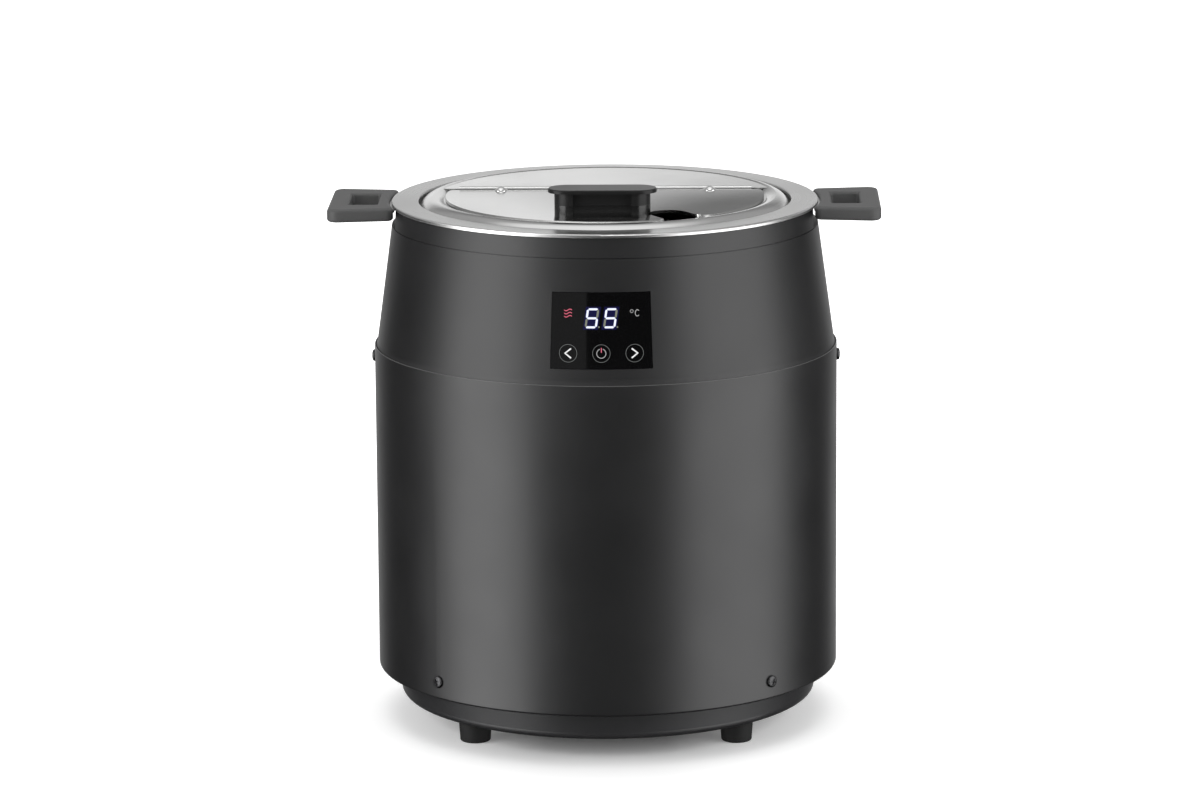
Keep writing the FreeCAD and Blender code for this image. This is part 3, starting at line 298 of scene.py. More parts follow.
def place_group(tree, name, maker, **values):
    node = add_node(tree, "ShaderNodeGroup", node_tree=shared_group(name, maker))
    for label, value in values.items():
        node.inputs[label.replace("_", " ").capitalize()].default_value = value
    return node


def new_material(name):
    material = bpy.data.materials.new(name)
    material.use_nodes = True
    return material, material.node_tree, material.node_tree.nodes["Principled BSDF"]


def stretch(tree, source, low, high, start=0.3, end=0.7):
    """Map the span from start to end to the span from low to high, held at its ends."""
    node = add_node(tree, "ShaderNodeMapRange")
    tree.links.new(source, node.inputs["Value"])
    for label, value in (("From Min", start), ("From Max", end), ("To Min", low), ("To Max", high)):
        node.inputs[label].default_value = value
    return node.outputs["Result"]


def tint(tree, source, dark, light):
    """A colour between two, by a value."""
    node = add_node(tree, "ShaderNodeMix", data_type="RGBA")
    tree.links.new(source, node.inputs["Factor"])
    node.inputs["A"].default_value = (*dark, 1.0)
    node.inputs["B"].default_value = (*light, 1.0)
    return node.outputs["Result"]


def scaled(rgb, factor):
    return tuple(min(part * factor, 1.0) for part in rgb)


def bump(tree, bsdf, height, strength, distance):
    node = add_node(tree, "ShaderNodeBump")
    node.inputs["Strength"].default_value = strength
    node.inputs["Distance"].default_value = distance
    tree.links.new(height, node.inputs["Height"])
    tree.links.new(node.outputs["Normal"], bsdf.inputs["Normal"])
    return node


def grained(name, rgb, roughness, grain, depth=0.00003, specular=0.5, variation=0.12, coat=0.0):
    """A moulded, rubber or coated finish."""
    material, tree, bsdf = new_material(name)
    node = place_group(tree, "Fine grain", make_grain_group, grain_scale=grain)
    patches = node.outputs["Patches"]
    shade = tint(tree, patches, scaled(rgb, 1 - variation), scaled(rgb, 1 + variation))
    tree.links.new(shade, bsdf.inputs["Base Color"])
    rough = stretch(tree, patches, roughness - GRAIN_ROUGH_SPAN, roughness + GRAIN_ROUGH_SPAN)
    tree.links.new(rough, bsdf.inputs["Roughness"])
    bsdf.inputs["Specular IOR Level"].default_value = specular
    bsdf.inputs["Coat Weight"].default_value = coat
    bump(tree, bsdf, node.outputs["Grain"], GRAIN_BUMP, depth)
    return material


def steel(name, rgb, roughness, turned=True, anisotropy=0.5, contrast=0.1, depth=0.00002, twist=None):
    """A brushed metal, with lines round the axis or straight across, and a twist if it is a thin sheet."""
    material, tree, bsdf = new_material(name)
    if turned:
        node = place_group(tree, "Turned lines", make_turned_group, lines=BRUSH_LINES)
        tangent = add_node(tree, "ShaderNodeTangent", direction_type="RADIAL", axis="Z")
        tree.links.new(tangent.outputs[0], bsdf.inputs["Tangent"])
    else:
        node = place_group(tree, "Straight lines", make_straight_group, lines=BRUSH_LINES)
    streak = node.outputs["Streak"]
    shade = tint(tree, stretch(tree, streak, 0.0, 1.0), scaled(rgb, 1 - contrast), scaled(rgb, 1 + contrast))
    tree.links.new(shade, bsdf.inputs["Base Color"])
    mixed = math_node(tree, "ADD", math_node(tree, "MULTIPLY", streak, STREAK_SHARE),
                      math_node(tree, "MULTIPLY", node.outputs["Cloud"], 1 - STREAK_SHARE))
    rough = stretch(tree, mixed, roughness - BRUSH_ROUGH_SPAN, roughness + BRUSH_ROUGH_SPAN)
    tree.links.new(rough, bsdf.inputs["Roughness"])
    bsdf.inputs["Metallic"].default_value = 1.0
    bsdf.inputs["Anisotropic"].default_value = anisotropy
    brushed = bump(tree, bsdf, streak, BRUSH_BUMP, depth)
    if twist:
        sheet = place_group(tree, "Sheet twist", make_twist_group, **twist)
        bent = add_node(tree, "ShaderNodeBump")
        bent.inputs["Distance"].default_value = 1.0
        tree.links.new(sheet.outputs["Height"], bent.inputs["Height"])
        tree.links.new(bent.outputs["Normal"], brushed.inputs["Normal"])
    return material


def glowing(name, rgb, strength, base=0.02):
    """A printed or lit sign on the panel."""
    material, tree, bsdf = new_material(name)
    node = place_group(tree, "Fine grain", make_grain_group, grain_scale=900.0)
    shade = tint(tree, node.outputs["Grain"], scaled(rgb, 0.94), scaled(rgb, 1.0))
    tree.links.new(shade, bsdf.inputs["Emission Color"])
    bsdf.inputs["Emission Strength"].default_value = strength
    bsdf.inputs["Base Color"].default_value = (base, base, base, 1.0)
    bsdf.inputs["Roughness"].default_value = 0.25
    return material


# Finishes and pieces

def dress(material, *nodes):
    """Give CAD nodes a finish."""
    for name in nodes:
        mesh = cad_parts[name].data
        if not mesh.materials:
            mesh.materials.append(material)
        for index in range(len(mesh.materials)):
            mesh.materials[index] = material


def to_mesh(name, shape):
    mesh = bpy.data.meshes.new(name)
    shape.to_mesh(mesh)
    shape.free()
    return mesh


def to_object(name, shape):
    piece = bpy.data.objects.new(name, to_mesh(name, shape))
    bpy.context.scene.collection.objects.link(piece)
    return piece


def finish_piece(name, mesh, body, slot, material, *replaced):
    """Put a new mesh in the scene, riding on its body."""
    piece = bpy.data.objects.new(name, mesh)
    bpy.context.scene.collection.objects.link(piece)
    mesh.materials.append(material)
    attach(piece, body)
    if replaced:
        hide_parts(*replaced)


def edge_bead(level, steps=180, sides=8):
    """The coat's rounded bead on the cut edge at the top of the shell."""
    sizes = settings().sizes
    shape = bmesh.new()
    turns = [2 * math.pi * k / steps for k in range(steps)]
    bends = [2 * math.pi * k / sides for k in range(sides)]
    loops = []
    for turn in turns:
        loop = []
        for bend in bends:
            reach = sizes.shell_radius - sizes.edge_bead * (1.2 - math.cos(bend))
            height = level + sizes.edge_bead * math.sin(bend)
            loop.append(shape.verts.new((reach * math.cos(turn), reach * math.sin(turn), height)))
        loops.append(loop)
    for k in range(steps):
        here, following = loops[k], loops[(k + 1) % steps]
        for j in range(sides):
            after = (j + 1) % sides
            shape.faces.new((here[j], following[j], following[after], here[after])).smooth = True
    bmesh.ops.recalc_face_normals(shape, faces=shape.faces)
    return to_mesh("shell_edge", shape)


class KETTLE_OT_body(bpy.types.Operator):
    """Finish the shell, housing, collar, base and feet"""

    bl_idname = "kettle.body"
    bl_label = "Body"

    def execute(self, context):
        colours = settings().colours
        dress(grained("shell_coat", colours.paint, roughness=0.40, grain=1100.0, specular=0.55),
              "lower_shell")
        dress(grained("satin_moulding", colours.moulding, roughness=0.42, grain=1900.0),
              "upper_housing", "top_collar")
        # The base takes the housing's black moulding made 2.4 times lighter: painted light on the base, not a
        # different plastic.
        dress(grained("base_moulding_painted_light", scaled(colours.moulding, 2.4), roughness=0.45, grain=1900.0,
                      specular=0.45), "base_pan")
        dress(grained("foot_rubber_black", colours.rubber, roughness=0.75, grain=1400.0, depth=0.00006,
                      specular=0.3),
              "foot_rear_right", "foot_rear_left", "foot_front_left", "foot_front_right")
        dress(grained("gland_nylon", colours.gland, roughness=0.5, grain=1600.0, depth=0.00004),
              "cable_gland")
        dress(grained("panel_gloss_black", colours.panel, roughness=0.08, grain=400.0, depth=0.000002,
                      variation=0.05, coat=0.6), "control_panel")
        # The bead on the shell's top edge gets a painted highlight: a lighter colour in place of the light
        # its rounded edge catches.
        painted_edge_highlight = grained("edge_painted_highlight", colours.edge, roughness=0.35, grain=1100.0, depth=0.00002, specular=0.6)
        finish_piece("shell_edge", edge_bead(SHELL_HIGH[2]), "body", "shell_black", painted_edge_highlight)
        return {"FINISHED"}


class KETTLE_OT_pot(bpy.types.Operator):
    """Finish the pot, its brackets and its grips"""

    bl_idname = "kettle.pot"
    bl_label = "Pot"

    def execute(self, context):
        colours = settings().colours
        dress(steel("pot_brushed_steel", colours.steel, roughness=0.30, contrast=0.06, depth=0.00001), "pot")
        dress(steel("bracket_stamped_steel", scaled(colours.steel, 0.8), roughness=0.35, turned=False),
              "pot_bracket_right", "pot_bracket_left")
        dress(grained("grip_moulding", colours.grip, roughness=0.62, grain=1500.0, depth=0.00006,
                      specular=0.4, variation=0.08), "pot_grip_right", "pot_grip_left")
        return {"FINISHED"}


class KETTLE_OT_lid(bpy.types.Operator):
    """Finish the lid, its hinge and its handle"""

    bl_idname = "kettle.lid"
    bl_label = "Lid"

    def execute(self, context):
        colours = settings().colours
        dress(steel("lid_satin_steel", colours.steel, roughness=0.20, anisotropy=0.3, contrast=0.04,
                    twist={"twist": 0.35, "middle": 0.06}), "lid_plate")
        dress(steel("flap_satin_steel", scaled(colours.steel, 0.95), roughness=0.17, turned=False,
                    anisotropy=0.2, contrast=0.04,
                    twist={"slope": 0.05, "twist": 1.0, "bow": -6.0, "middle": -0.042}), "lid_flap")
        dress(steel("hinge_steel", scaled(colours.steel, 1.05), roughness=0.25, turned=False, contrast=0.05),
              "hinge_leaf_lid", "hinge_leaf_flap", "hinge_pin")
        dress(steel("rivet_steel", scaled(colours.steel, 1.1), roughness=0.16, turned=False, contrast=0.04),
              "hinge_rivets")
        dress(grained("handle_moulding", colours.handle, roughness=0.34, grain=1800.0, depth=0.00002,
                      specular=0.2), "lid_handle_cap")
        dress(grained("handle_base_moulding", scaled(colours.handle, 0.5), roughness=0.20, grain=1800.0,
                      depth=0.00001), "lid_handle_base")
        return {"FINISHED"}


class KETTLE_OT_inside(bpy.types.Operator):
    """Finish the well, the heater, the boards and the wiring"""

    bl_idname = "kettle.inside"
    bl_label = "Inside"

    def execute(self, context):
        dress(steel("well_drawn_steel", settings().colours.steel, roughness=0.3), "water_well", "well_rim")
        dress(grained("seal_silicone", (0.38, 0.38, 0.38), roughness=0.6, grain=1500.0, depth=0.00004),
              "well_seal")
        dress(steel("plate_cast_aluminium", (0.72, 0.72, 0.73), roughness=0.45, contrast=0.06),
              "heating_plate")
        dress(steel("element_sheath", (0.42, 0.41, 0.39), roughness=0.38, contrast=0.15), "heating_element")
        dress(steel("fixing_steel", (0.58, 0.58, 0.57), roughness=0.28, turned=False, contrast=0.06),
              "foot_nuts", "collar_screws", "board_screws", "rod_spacer", "tie_rod", "tie_nuts",
              "temperature_sensor")
        dress(steel("shield_steel", (0.66, 0.66, 0.65), roughness=0.34), "heat_shield")
        dress(grained("cutout_ceramic", (0.78, 0.76, 0.70), roughness=0.3, grain=900.0), "thermal_cutout")
        dress(grained("lead_sleeve", (0.45, 0.05, 0.04), roughness=0.55, grain=1500.0, depth=0.00005),
              "heater_leads")
        dress(grained("glass_wool", (0.74, 0.72, 0.64), roughness=0.95, grain=420.0, depth=0.0012,
                      specular=0.1, variation=0.2), "insulation_sleeve")
        dress(grained("solder_mask", (0.03, 0.16, 0.07), roughness=0.35, grain=800.0),
              "control_board", "power_board")
        dress(grained("display_lens", (0.05, 0.02, 0.02), roughness=0.3, grain=800.0, depth=0.00002),
              "display_module")
        dress(steel("spring_brass_wire", (0.75, 0.58, 0.33), roughness=0.25, turned=False), "key_springs")
        dress(grained("winding_tape", (0.60, 0.50, 0.12), roughness=0.5, grain=600.0, depth=0.0001),
              "transformer")
        dress(grained("relay_case", (0.06, 0.16, 0.42), roughness=0.4, grain=1200.0), "heater_relay")
        dress(grained("terminal_case", (0.10, 0.35, 0.15), roughness=0.45, grain=1200.0), "terminal_block")
        dress(grained("ribbon_sleeve", (0.45, 0.45, 0.47), roughness=0.55, grain=1200.0), "ribbon_cable")
        return {"FINISHED"}


# Cross-head screws: shares of the head's height and radius, then angles in degrees

HEAD_WALL = 0.42
HEAD_CHAMFER = 0.06
HEAD_FOOT = 0.97
CROWN_SWEEP = 0.94
CROWN_STEPS = 7
TIP_RADIUS = 0.7
TIP_LENGTH = 0.4
CROSS_DEPTH = 0.62
CROSS_REACH = 0.64
CROSS_WIDTH = 0.17
CROSS_MOUTH = 1.15
CROSS_FLOOR = 0.55
SHARP_ANGLE = 32
SIDE_ANGLES = (45, 135, 225, 315)
SIDE_SPINS = (12, 40, 27, -18)
SHOULDER_ANGLES = (0, 180)
SHOULDER_SPINS = (8, 33)


def lathe(points, steps=40):
    """A closed solid turned about the X axis from (along, radius) points."""
    shape = bmesh.new()
    turns = [2 * math.pi * k / steps for k in range(steps)]
    loops = []
    for along, radius in points:
        if radius == 0:
            loops.append([shape.verts.new((along, 0, 0))])
            continue
        loops.append([shape.verts.new((along, radius * math.cos(a), radius * math.sin(a))) for a in turns])
    for first, second in zip(loops, loops[1:]):
        for k in range(steps):
            corners = []
            for loop, index in ((first, k), (second, k), (second, k + 1), (first, k + 1)):
                corner = loop[index % len(loop)]
                if corner not in corners:
                    corners.append(corner)
            shape.faces.new(corners)
    bmesh.ops.recalc_face_normals(shape, faces=shape.faces)
    return shape


def slot_cutter(top, depth, reach, width, turned):
    """One tapered bar of the cross that sinks into a screw head along -X."""
    shape = bmesh.new()
    loops = []
    for along, part in ((top + depth, CROSS_MOUTH), (top - depth, CROSS_FLOOR)):
        corners = []
        for across, side in ((-1, -1), (1, -1), (1, 1), (-1, 1)):
            spot = (across * reach * part, side * width * part)
            corners.append(shape.verts.new((along, *(spot[::-1] if turned else spot))))
        loops.append(corners)
    shape.faces.new(loops[0])
    shape.faces.new(loops[1][::-1])
    for k in range(4):
        after = (k + 1) % 4
        shape.faces.new((loops[0][k], loops[1][k], loops[1][after], loops[0][after]))
    bmesh.ops.recalc_face_normals(shape, faces=shape.faces)
    return shape


def cross_screw(shank_length):
    """One pan-head screw with a cross recess, along +X, with its seat at zero."""
    sizes = settings().sizes
    head, rise, shank = sizes.screw_head, sizes.screw_rise, sizes.screw_shank
    bends = [math.pi / 2 * k / CROWN_STEPS for k in range(1, CROWN_STEPS)]
    crown = [(rise * (HEAD_WALL + (1 - HEAD_WALL) * math.sin(bend)), head * math.cos(bend * CROWN_SWEEP))
             for bend in bends]
    points = [(-shank_length, 0), (-shank_length, shank * TIP_RADIUS),
              (-shank_length + shank * TIP_LENGTH, shank), (0, shank), (0, head * HEAD_FOOT),
              (rise * HEAD_CHAMFER, head), (rise * HEAD_WALL, head)]
    screw = to_object("screw_blank", lathe(points + crown + [(rise, 0)]))
    cutters = []
    for turned in (False, True):
        slot = slot_cutter(rise, rise * CROSS_DEPTH, head * CROSS_REACH, head * CROSS_WIDTH, turned)
        cutter = to_object("screw_slot", slot)
        cut = screw.modifiers.new("slot", "BOOLEAN")
        cut.operation = "DIFFERENCE"
        cut.solver = "EXACT"
        cut.object = cutter
        cutters.append(cutter)
    done = bpy.data.meshes.new_from_object(screw.evaluated_get(bpy.context.evaluated_depsgraph_get()))
    for piece in (screw, *cutters):
        bpy.data.meshes.remove(piece.data)
    return done


def screw_set(name, screw, places):
    """Copies of one screw, as one mesh, at given places."""
    shape = bmesh.new()
    for place in places:
        count = len(shape.verts)
        shape.from_mesh(screw)
        shape.verts.ensure_lookup_table()
        bmesh.ops.transform(shape, matrix=place, verts=shape.verts[count:])
    mesh = to_mesh(name, shape)
    for face in mesh.polygons:
        face.use_smooth = True
    mesh.set_sharp_from_angle(angle=math.radians(SHARP_ANGLE))
    return mesh


def round_places(box, angles, spins):
    """Places on the body's side at a box's middle level, each screw turned a little differently."""
    level = (box[0][2] + box[1][2]) / 2
    seat = Matrix.Translation((settings().sizes.shell_radius, 0, level))
    return [Matrix.Rotation(math.radians(angle), 4, "Z") @ seat @ Matrix.Rotation(math.radians(spin), 4, "X")
            for angle, spin in zip(angles, spins)]


def under_places(level, spots):
    """Places for screws that are driven from below."""
    return [Matrix.Translation((x, y, level)) @ Matrix.Rotation(math.radians(90), 4, "Y") for x, y in spots]


class KETTLE_OT_screws(bpy.types.Operator):
    """Make the cross-head screws"""

    bl_idname = "kettle.screws"
    bl_label = "Screws"

    def execute(self, context):
        sizes = settings().sizes
        colours = settings().colours
        dark = steel("screw_dark_nickel", colours.nickel, roughness=0.40, turned=False)
        zinc = steel("screw_zinc", colours.zinc, roughness=0.28, turned=False, contrast=0.06)
        screw = cross_screw(sizes.side_shank)
        mesh = screw_set("cross_screws_low", screw, round_places(SIDE_SCREWS, SIDE_ANGLES, SIDE_SPINS))
        finish_piece("cross_screws_low", mesh, "body", "screw_steel", dark, "shell_screws")
        mesh = screw_set("cross_screws_shoulder", screw,
                         round_places(SHOULDER_SCREWS, SHOULDER_ANGLES, SHOULDER_SPINS))
        finish_piece("cross_screws_shoulder", mesh, "body", "screw_steel", dark, "shoulder_screws")
        inset = sizes.screw_head
        low, high = HANDLE_SCREWS
        spots = [(x, (low[1] + high[1]) / 2) for x in (low[0] + inset, high[0] - inset)]
        screw = cross_screw(sizes.handle_shank)
        mesh = screw_set("cross_screws_handle", screw, under_places(low[2] + sizes.screw_rise, spots))
        finish_piece("cross_screws_handle", mesh, "flap", "screw_steel", zinc, "lid_handle_screws")
        low, high = FOOT_SCREWS
        spots = [(x, y) for x in (low[0] + inset, high[0] - inset) for y in (low[1] + inset, high[1] - inset)]
        screw = cross_screw(high[2] - low[2] - sizes.screw_rise)
        mesh = screw_set("cross_screws_foot", screw, under_places(low[2] + sizes.screw_rise, spots))
        finish_piece("cross_screws_foot", mesh, "body", "screw_steel", zinc, "foot_screws")
        return {"FINISHED"}


# Signs on the control panel

SEGMENTS_OF_5 = "afgcd"
HALO_STRIPS = 10
WAVE_STEPS = 24


def on_panel(x, z, proud):
    """A point on the panel's curved face, from its place across and above the middle."""
    sizes = settings().sizes
    level = sizes.panel_middle + z
    radius = sizes.panel_radius - (level - PANEL_LOW[2]) * sizes.panel_lean
    return Vector((x, -math.sqrt(radius * radius - x * x) - proud, level))


def prisms(outlines, proud):
    """Thin closed plates on the panel's face, one for each outline."""
    sizes = settings().sizes
    shape = bmesh.new()
    for outline in outlines:
        face = [shape.verts.new(on_panel(x, z, proud)) for x, z in outline]
        back = [shape.verts.new(on_panel(x, z, -sizes.sign_height)) for x, z in outline]
        shape.faces.new(face)
        shape.faces.new(back[::-1])
        for k in range(len(outline)):
            after = (k + 1) % len(outline)
            shape.faces.new((face[k], back[k], back[after], face[after]))
    bmesh.ops.recalc_face_normals(shape, faces=shape.faces)
    return to_mesh("sign", shape)


def add_sign(name, outlines, material, proud=1.0):
    """Put one sign on the panel, standing proud by a share of the usual height."""
    plates = prisms(outlines, proud * settings().sizes.sign_height)
    finish_piece(name, plates, "body", "panel_gloss", material)


def stroke(path, width, closed=False):
    """Quads that follow a path with a given width."""
    sides = []
    count = len(path)
    for k, (x, z) in enumerate(path):
        before = path[k - 1] if k > 0 or closed else path[k]
        after = path[(k + 1) % count] if k < count - 1 or closed else path[k]
        dx, dz = after[0] - before[0], after[1] - before[1]
        span = math.hypot(dx, dz)
        nx, nz = -dz / span * width / 2, dx / span * width / 2
        sides.append(((x + nx, z + nz), (x - nx, z - nz)))
    last = count if closed else count - 1
    quads = []
    for k in range(last):
        here, following = sides[k], sides[(k + 1) % count]
        quads.append([here[0], here[1], following[1], following[0]])
    return quads


def ribbon(path, width):
    """One outline round an open path, with its ends cut square."""
    quads = stroke(path, width)
    left = [quad[0] for quad in quads] + [quads[-1][3]]
    right = [quad[1] for quad in quads] + [quads[-1][2]]
    return left + right[::-1]


def arc(x, z, radius, start, end, steps):
    turns = [math.radians(start + (end - start) * k / steps) for k in range(steps + 1)]
    return [(x + radius * math.cos(turn), z + radius * math.sin(turn)) for turn in turns]


def circle(x, z, radius, steps):
    return arc(x, z, radius, 0, 360, steps)[:-1]


def ring(x, z, radius, width):
    return stroke(circle(x, z, radius, 56), width, closed=True)


def slanted(centre, outline):
    """A digit's outline, leaning and in its place on the display."""
    sizes = settings().sizes
    return [(centre + x + z * sizes.digit_slant, z + sizes.digit_rise) for x, z in outline]


def segment_outlines(centre):
    """The seven bars of one digit, by letter."""
    sizes = settings().sizes
    half_wide = (sizes.digit_width - sizes.digit_stroke) / 2
    half_high = (sizes.digit_height - sizes.digit_stroke) / 2
    gap = sizes.digit_stroke * 0.12
    half = sizes.digit_stroke / 2

    def level_bar(z):
        near, far = -half_wide + gap, half_wide - gap
        return [(near, z), (near + half, z - half), (far - half, z - half), (far, z), (far - half, z + half),
                (near + half, z + half)]

    def upright_bar(x, low, high):
        low, high = low + gap, high - gap
        return [(x, low), (x + half, low + half), (x + half, high - half), (x, high), (x - half, high - half),
                (x - half, low + half)]

    bars = {
        "a": level_bar(half_high), "g": level_bar(0), "d": level_bar(-half_high),
        "b": upright_bar(half_wide, 0, half_high), "c": upright_bar(half_wide, -half_high, 0),
        "f": upright_bar(-half_wide, 0, half_high), "e": upright_bar(-half_wide, -half_high, 0)}
    return {letter: slanted(centre, bar) for letter, bar in bars.items()}


def chevron(x, z, way):
    """An arrow head that points left or right, as one outline."""
    sizes = settings().sizes
    reach, rise, wide = sizes.arrow_reach, sizes.arrow_rise, sizes.arrow_stroke
    slim = wide * 0.72
    outer, inner = -reach + slim * 0.55, -reach - slim * 0.2
    outline = [(inner, rise - wide * 0.35), (outer, rise + wide * 0.4), (reach + slim * 0.75, 0),
               (outer, -rise - wide * 0.4), (inner, -rise + wide * 0.35), (reach - slim * 0.8, 0)]
    return [(x + across * way, z + above) for across, above in outline]


def add_digits(sizes, colours):
    """Two digits of lit and unlit bars, over a dim glow in strips that follow the panel's curve."""
    lit, unlit, halo = [], [], []
    half_wide = sizes.digit_width / 2 + sizes.halo_width
    half_high = sizes.digit_height / 2 + sizes.halo_width
    edges = [half_wide * (2 * k / HALO_STRIPS - 1) for k in range(HALO_STRIPS + 1)]
    for centre in (-sizes.digit_pitch / 2, sizes.digit_pitch / 2):
        for letter, outline in segment_outlines(centre).items():
            (lit if letter in SEGMENTS_OF_5 else unlit).append(outline)
        dot_x = centre + sizes.digit_width * 0.56
        dot_z = sizes.digit_rise - sizes.digit_height * 0.44
        unlit.append(circle(dot_x, dot_z, sizes.dot_radius, 20))
        for left, right in zip(edges, edges[1:]):
            strip = [(left, -half_high), (right, -half_high), (right, half_high), (left, half_high)]
            halo.append(slanted(centre, strip))
    add_sign("display_halo", halo, glowing("segment_halo", colours.halo, strength=1.0, base=0.002), proud=0.5)
    add_sign("display_lit", lit, glowing("segment_lit", colours.lit, strength=1.25))
    add_sign("display_unlit", unlit, glowing("segment_unlit", colours.unlit, strength=0.8, base=0.05))


def add_icons(sizes, colours):
    """The heat sign to the left of the digits, and the degrees sign to their right."""
    waves = []
    for row in (-1, 0, 1):
        level = sizes.icon_rise + row * sizes.wave_pitch
        path = []
        for k in range(WAVE_STEPS + 1):
            part = k / WAVE_STEPS
            x = -sizes.icon_place + (part - 0.5) * sizes.wave_width
            path.append((x, level - sizes.wave_depth * math.sin(part * 2 * math.pi)))
        waves.append(ribbon(path, sizes.wave_stroke))
    add_sign("sign_heat", waves, glowing("heat_print", colours.heat, strength=1.5))
    degree = ring(sizes.icon_place - sizes.degree_left, sizes.icon_rise + sizes.degree_rise,
                  sizes.degree_radius, sizes.degree_stroke)
    letter = [(sizes.icon_place + sizes.letter_right + x * sizes.letter_narrow, z)
              for x, z in arc(0, sizes.icon_rise, sizes.letter_radius, 42, 318, 28)]
    add_sign("sign_degrees", degree + [ribbon(letter, sizes.letter_stroke)],
             glowing("degrees_print", colours.degrees, strength=0.9))


def add_keys(sizes, colours):
    """Three ringed touch keys: an arrow, the power sign and an arrow."""
    level = -sizes.key_drop
    rings = []
    for step in (-1, 0, 1):
        rings += ring(step * sizes.key_pitch, level, sizes.key_radius, sizes.ring_stroke)
    add_sign("sign_key_rings", rings, glowing("ring_print", colours.key_ring, strength=0.9))
    arrows = [chevron(way * sizes.key_pitch, level, way) for way in (-1, 1)]
    add_sign("sign_arrows", arrows, glowing("arrow_print", colours.arrow, strength=1.0))
    power = [ribbon(arc(0, level, sizes.power_radius, 108, 432, 44), sizes.power_stroke)]
    add_sign("sign_power", power, glowing("power_print", colours.power, strength=0.9))
    bar = [ribbon([(0, level + sizes.power_bar_low), (0, level + sizes.power_bar_high)], sizes.power_stroke)]
    add_sign("sign_power_bar", bar, glowing("power_bar_print", colours.power_bar, strength=1.3))


class KETTLE_OT_signs(bpy.types.Operator):
    """Make the display digits and the signs on the panel"""

    bl_idname = "kettle.signs"
    bl_label = "Display and signs"

    def execute(self, context):
        sizes = settings().sizes
        colours = settings().colours
        add_digits(sizes, colours)
        add_icons(sizes, colours)
        add_keys(sizes, colours)
        return {"FINISHED"}


# Stage

def area_light(name, place, target, size, power):
    data = bpy.data.lights.new(name, "AREA")
    data.shape = "RECTANGLE"
    data.size, data.size_y = size
    data.energy = power
    lamp = bpy.data.objects.new(name, data)
    lamp.location = place
    lamp.rotation_euler = (Vector(place) - Vector(target)).to_track_quat("Z", "Y").to_euler()
    lamp.visible_camera = False
    bpy.context.scene.collection.objects.link(lamp)
    return lamp


def around(azimuth, distance, height):
    """A place seen from the object: azimuth 0 is in front of the panel, positive to the right."""
    turn = math.radians(azimuth)
    return (distance * math.sin(turn), -distance * math.cos(turn), height)


def make_floor():
    """A white floor that glows for the camera only, less near the body and least below its middle: a painted
    shadow of the body.
    """
    shape = bmesh.new()
    bmesh.ops.create_circle(shape, cap_ends=True, segments=96, radius=6.0)
    floor = to_object("floor", shape)
    material, tree, bsdf = new_material("floor_white")
    bsdf.inputs["Base Color"].default_value = (0.9, 0.9, 0.9, 1.0)
    bsdf.inputs["Roughness"].default_value = 0.6
    bsdf.inputs["Specular IOR Level"].default_value = 0.2
    bsdf.inputs["Emission Color"].default_value = (1.0, 1.0, 1.0, 1.0)
    rays = add_node(tree, "ShaderNodeLightPath")
    place, parts = place_parts(tree)
    away = vector_node(tree, "LENGTH", place)
    # Painted shadow: the glow drops near the body, and drops further at the middle in front, so the floor
    # looks shaded there.
    glow = stretch(tree, away, low=0.35, high=1.0, start=0.25, end=0.9)
    painted_shadow_side = stretch(tree, math_node(tree, "ABSOLUTE", parts["X"]), low=0.32, high=0.0, start=0.04, end=0.16)
    painted_shadow_near = stretch(tree, away, low=1.0, high=0.0, start=0.09, end=0.25)
    glow = math_node(tree, "SUBTRACT", glow, math_node(tree, "MULTIPLY", painted_shadow_side, painted_shadow_near))
    tree.links.new(math_node(tree, "MULTIPLY", rays.outputs["Is Camera Ray"], glow),
                   bsdf.inputs["Emission Strength"])
    floor.data.materials.append(material)
    floor.visible_glossy = False


def make_world():
    """A white room, which the metal mirrors only from low behind, from the front and from overhead."""
    world = bpy.data.worlds.new("studio")
    world.use_nodes = True
    tree = world.node_tree
    back = tree.nodes["Background"]
    rays = add_node(tree, "ShaderNodeLightPath").outputs
    parts = place_parts(tree, "Generated")[1]
    shown = math_node(tree, "MAXIMUM", rays["Is Camera Ray"], rays["Is Transmission Ray"])
    behind = math_node(tree, "MULTIPLY", stretch(tree, parts["Y"], low=0.02, high=1.0, start=0.76, end=0.97),
                       stretch(tree, parts["Z"], low=1.0, high=0.15, start=0.21, end=0.38))
    front = math_node(tree, "MULTIPLY", stretch(tree, parts["Z"], low=0.0, high=0.45, start=0.10, end=0.24),
                      stretch(tree, parts["Y"], low=1.0, high=0.4, start=0.75, end=0.92))
    overhead = stretch(tree, parts["Z"], low=0.0, high=1.15, start=0.70, end=0.92)
    room = math_node(tree, "MAXIMUM", behind, math_node(tree, "MAXIMUM", front, overhead))
    mirrored = math_node(tree, "MULTIPLY", rays["Is Glossy Ray"], room)
    soft = math_node(tree, "MULTIPLY", rays["Is Diffuse Ray"], 0.35)
    total = math_node(tree, "ADD", math_node(tree, "ADD", shown, mirrored), soft)
    tree.links.new(total, back.inputs["Strength"])
    back.inputs["Color"].default_value = (1.0, 1.0, 1.0, 1.0)
    bpy.context.scene.world = world


def make_camera():
    """The photograph's view: 3.4 m away and 0.92 m up, through a long lens with a slight roll."""
    data = bpy.data.cameras.new("camera")
    data.sensor_width = 36.0
    data.lens = 155.2
    camera = bpy.data.objects.new("camera", data)
    azimuth, tilt, roll = math.radians(1.18), math.radians(11.77), math.radians(-0.404)
    camera.location = around(azimuth=1.11, distance=3.409, height=0.923)
    turn = Matrix.Rotation(azimuth, 3, "Z") @ Matrix.Rotation(math.pi / 2 - tilt, 3, "X")
    camera.rotation_euler = (turn @ Matrix.Rotation(roll, 3, "Z")).to_euler()
    bpy.context.scene.collection.objects.link(camera)
    bpy.context.scene.camera = camera


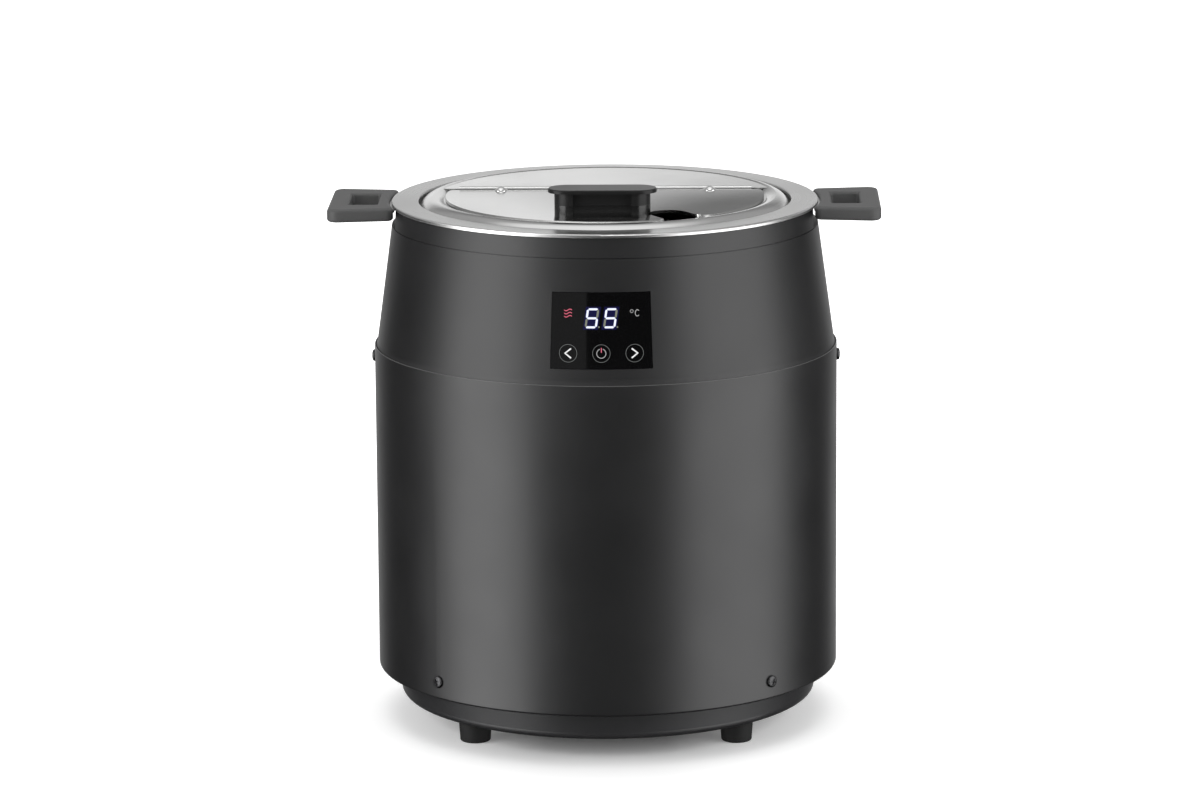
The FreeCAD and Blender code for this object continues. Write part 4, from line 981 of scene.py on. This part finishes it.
class KETTLE_OT_stage(bpy.types.Operator):
    """Set up the floor, the light and the camera"""

    bl_idname = "kettle.stage"
    bl_label = "Stage"

    def execute(self, context):
        make_floor()
        make_world()
        middle = (0, 0, 0.2)
        area_light("box_left", around(-60, 1.8, 0.2), middle, size=(1.45, 3.0), power=54)
        area_light("box_right", around(66, 1.8, 0.2), middle, size=(2.0, 3.0), power=53)
        area_light("panel_left", around(-21, 2.0, 0.3), middle, size=(0.9, 1.4), power=0.6)
        area_light("top_front", around(0, 0.8, 2.0), middle, size=(1.2, 0.3), power=2)
        soft = area_light("top_soft", (0, 0.5, 2.2), (0, 0, 0.3), size=(2.2, 2.0), power=30)
        soft.visible_glossy = False
        make_camera()
        context.scene.view_settings.view_transform = "Standard"
        return {"FINISHED"}


class KETTLE_PT_panel(bpy.types.Panel):
    """Lists the kettle's operators and settings"""

    bl_label = "Soup Kettle"
    bl_idname = "KETTLE_PT_panel"
    bl_space_type = "VIEW_3D"
    bl_region_type = "UI"
    bl_category = "Kettle"

    def draw(self, context):
        for operator in OPERATORS:
            self.layout.operator(operator.bl_idname)
        for group in (settings().sizes, settings().colours):
            for name in group.__annotations__:
                self.layout.prop(group, name)


OPERATORS = (KETTLE_OT_body, KETTLE_OT_pot, KETTLE_OT_lid, KETTLE_OT_inside, KETTLE_OT_screws,
             KETTLE_OT_signs, KETTLE_OT_stage)
CLASSES = (KettleSizes, KettleColours, KettleSettings) + OPERATORS + (KETTLE_PT_panel,)


def register():
    for item in CLASSES:
        bpy.utils.register_class(item)
    bpy.types.Scene.kettle = bpy.props.PointerProperty(type=KettleSettings)


def unregister():
    del bpy.types.Scene.kettle
    for item in reversed(CLASSES):
        bpy.utils.unregister_class(item)


def main():
    register()
    bpy.ops.kettle.body()
    bpy.ops.kettle.pot()
    bpy.ops.kettle.lid()
    bpy.ops.kettle.inside()
    bpy.ops.kettle.screws()
    bpy.ops.kettle.signs()
    bpy.ops.kettle.stage()


if __name__ == "__main__":
    main()
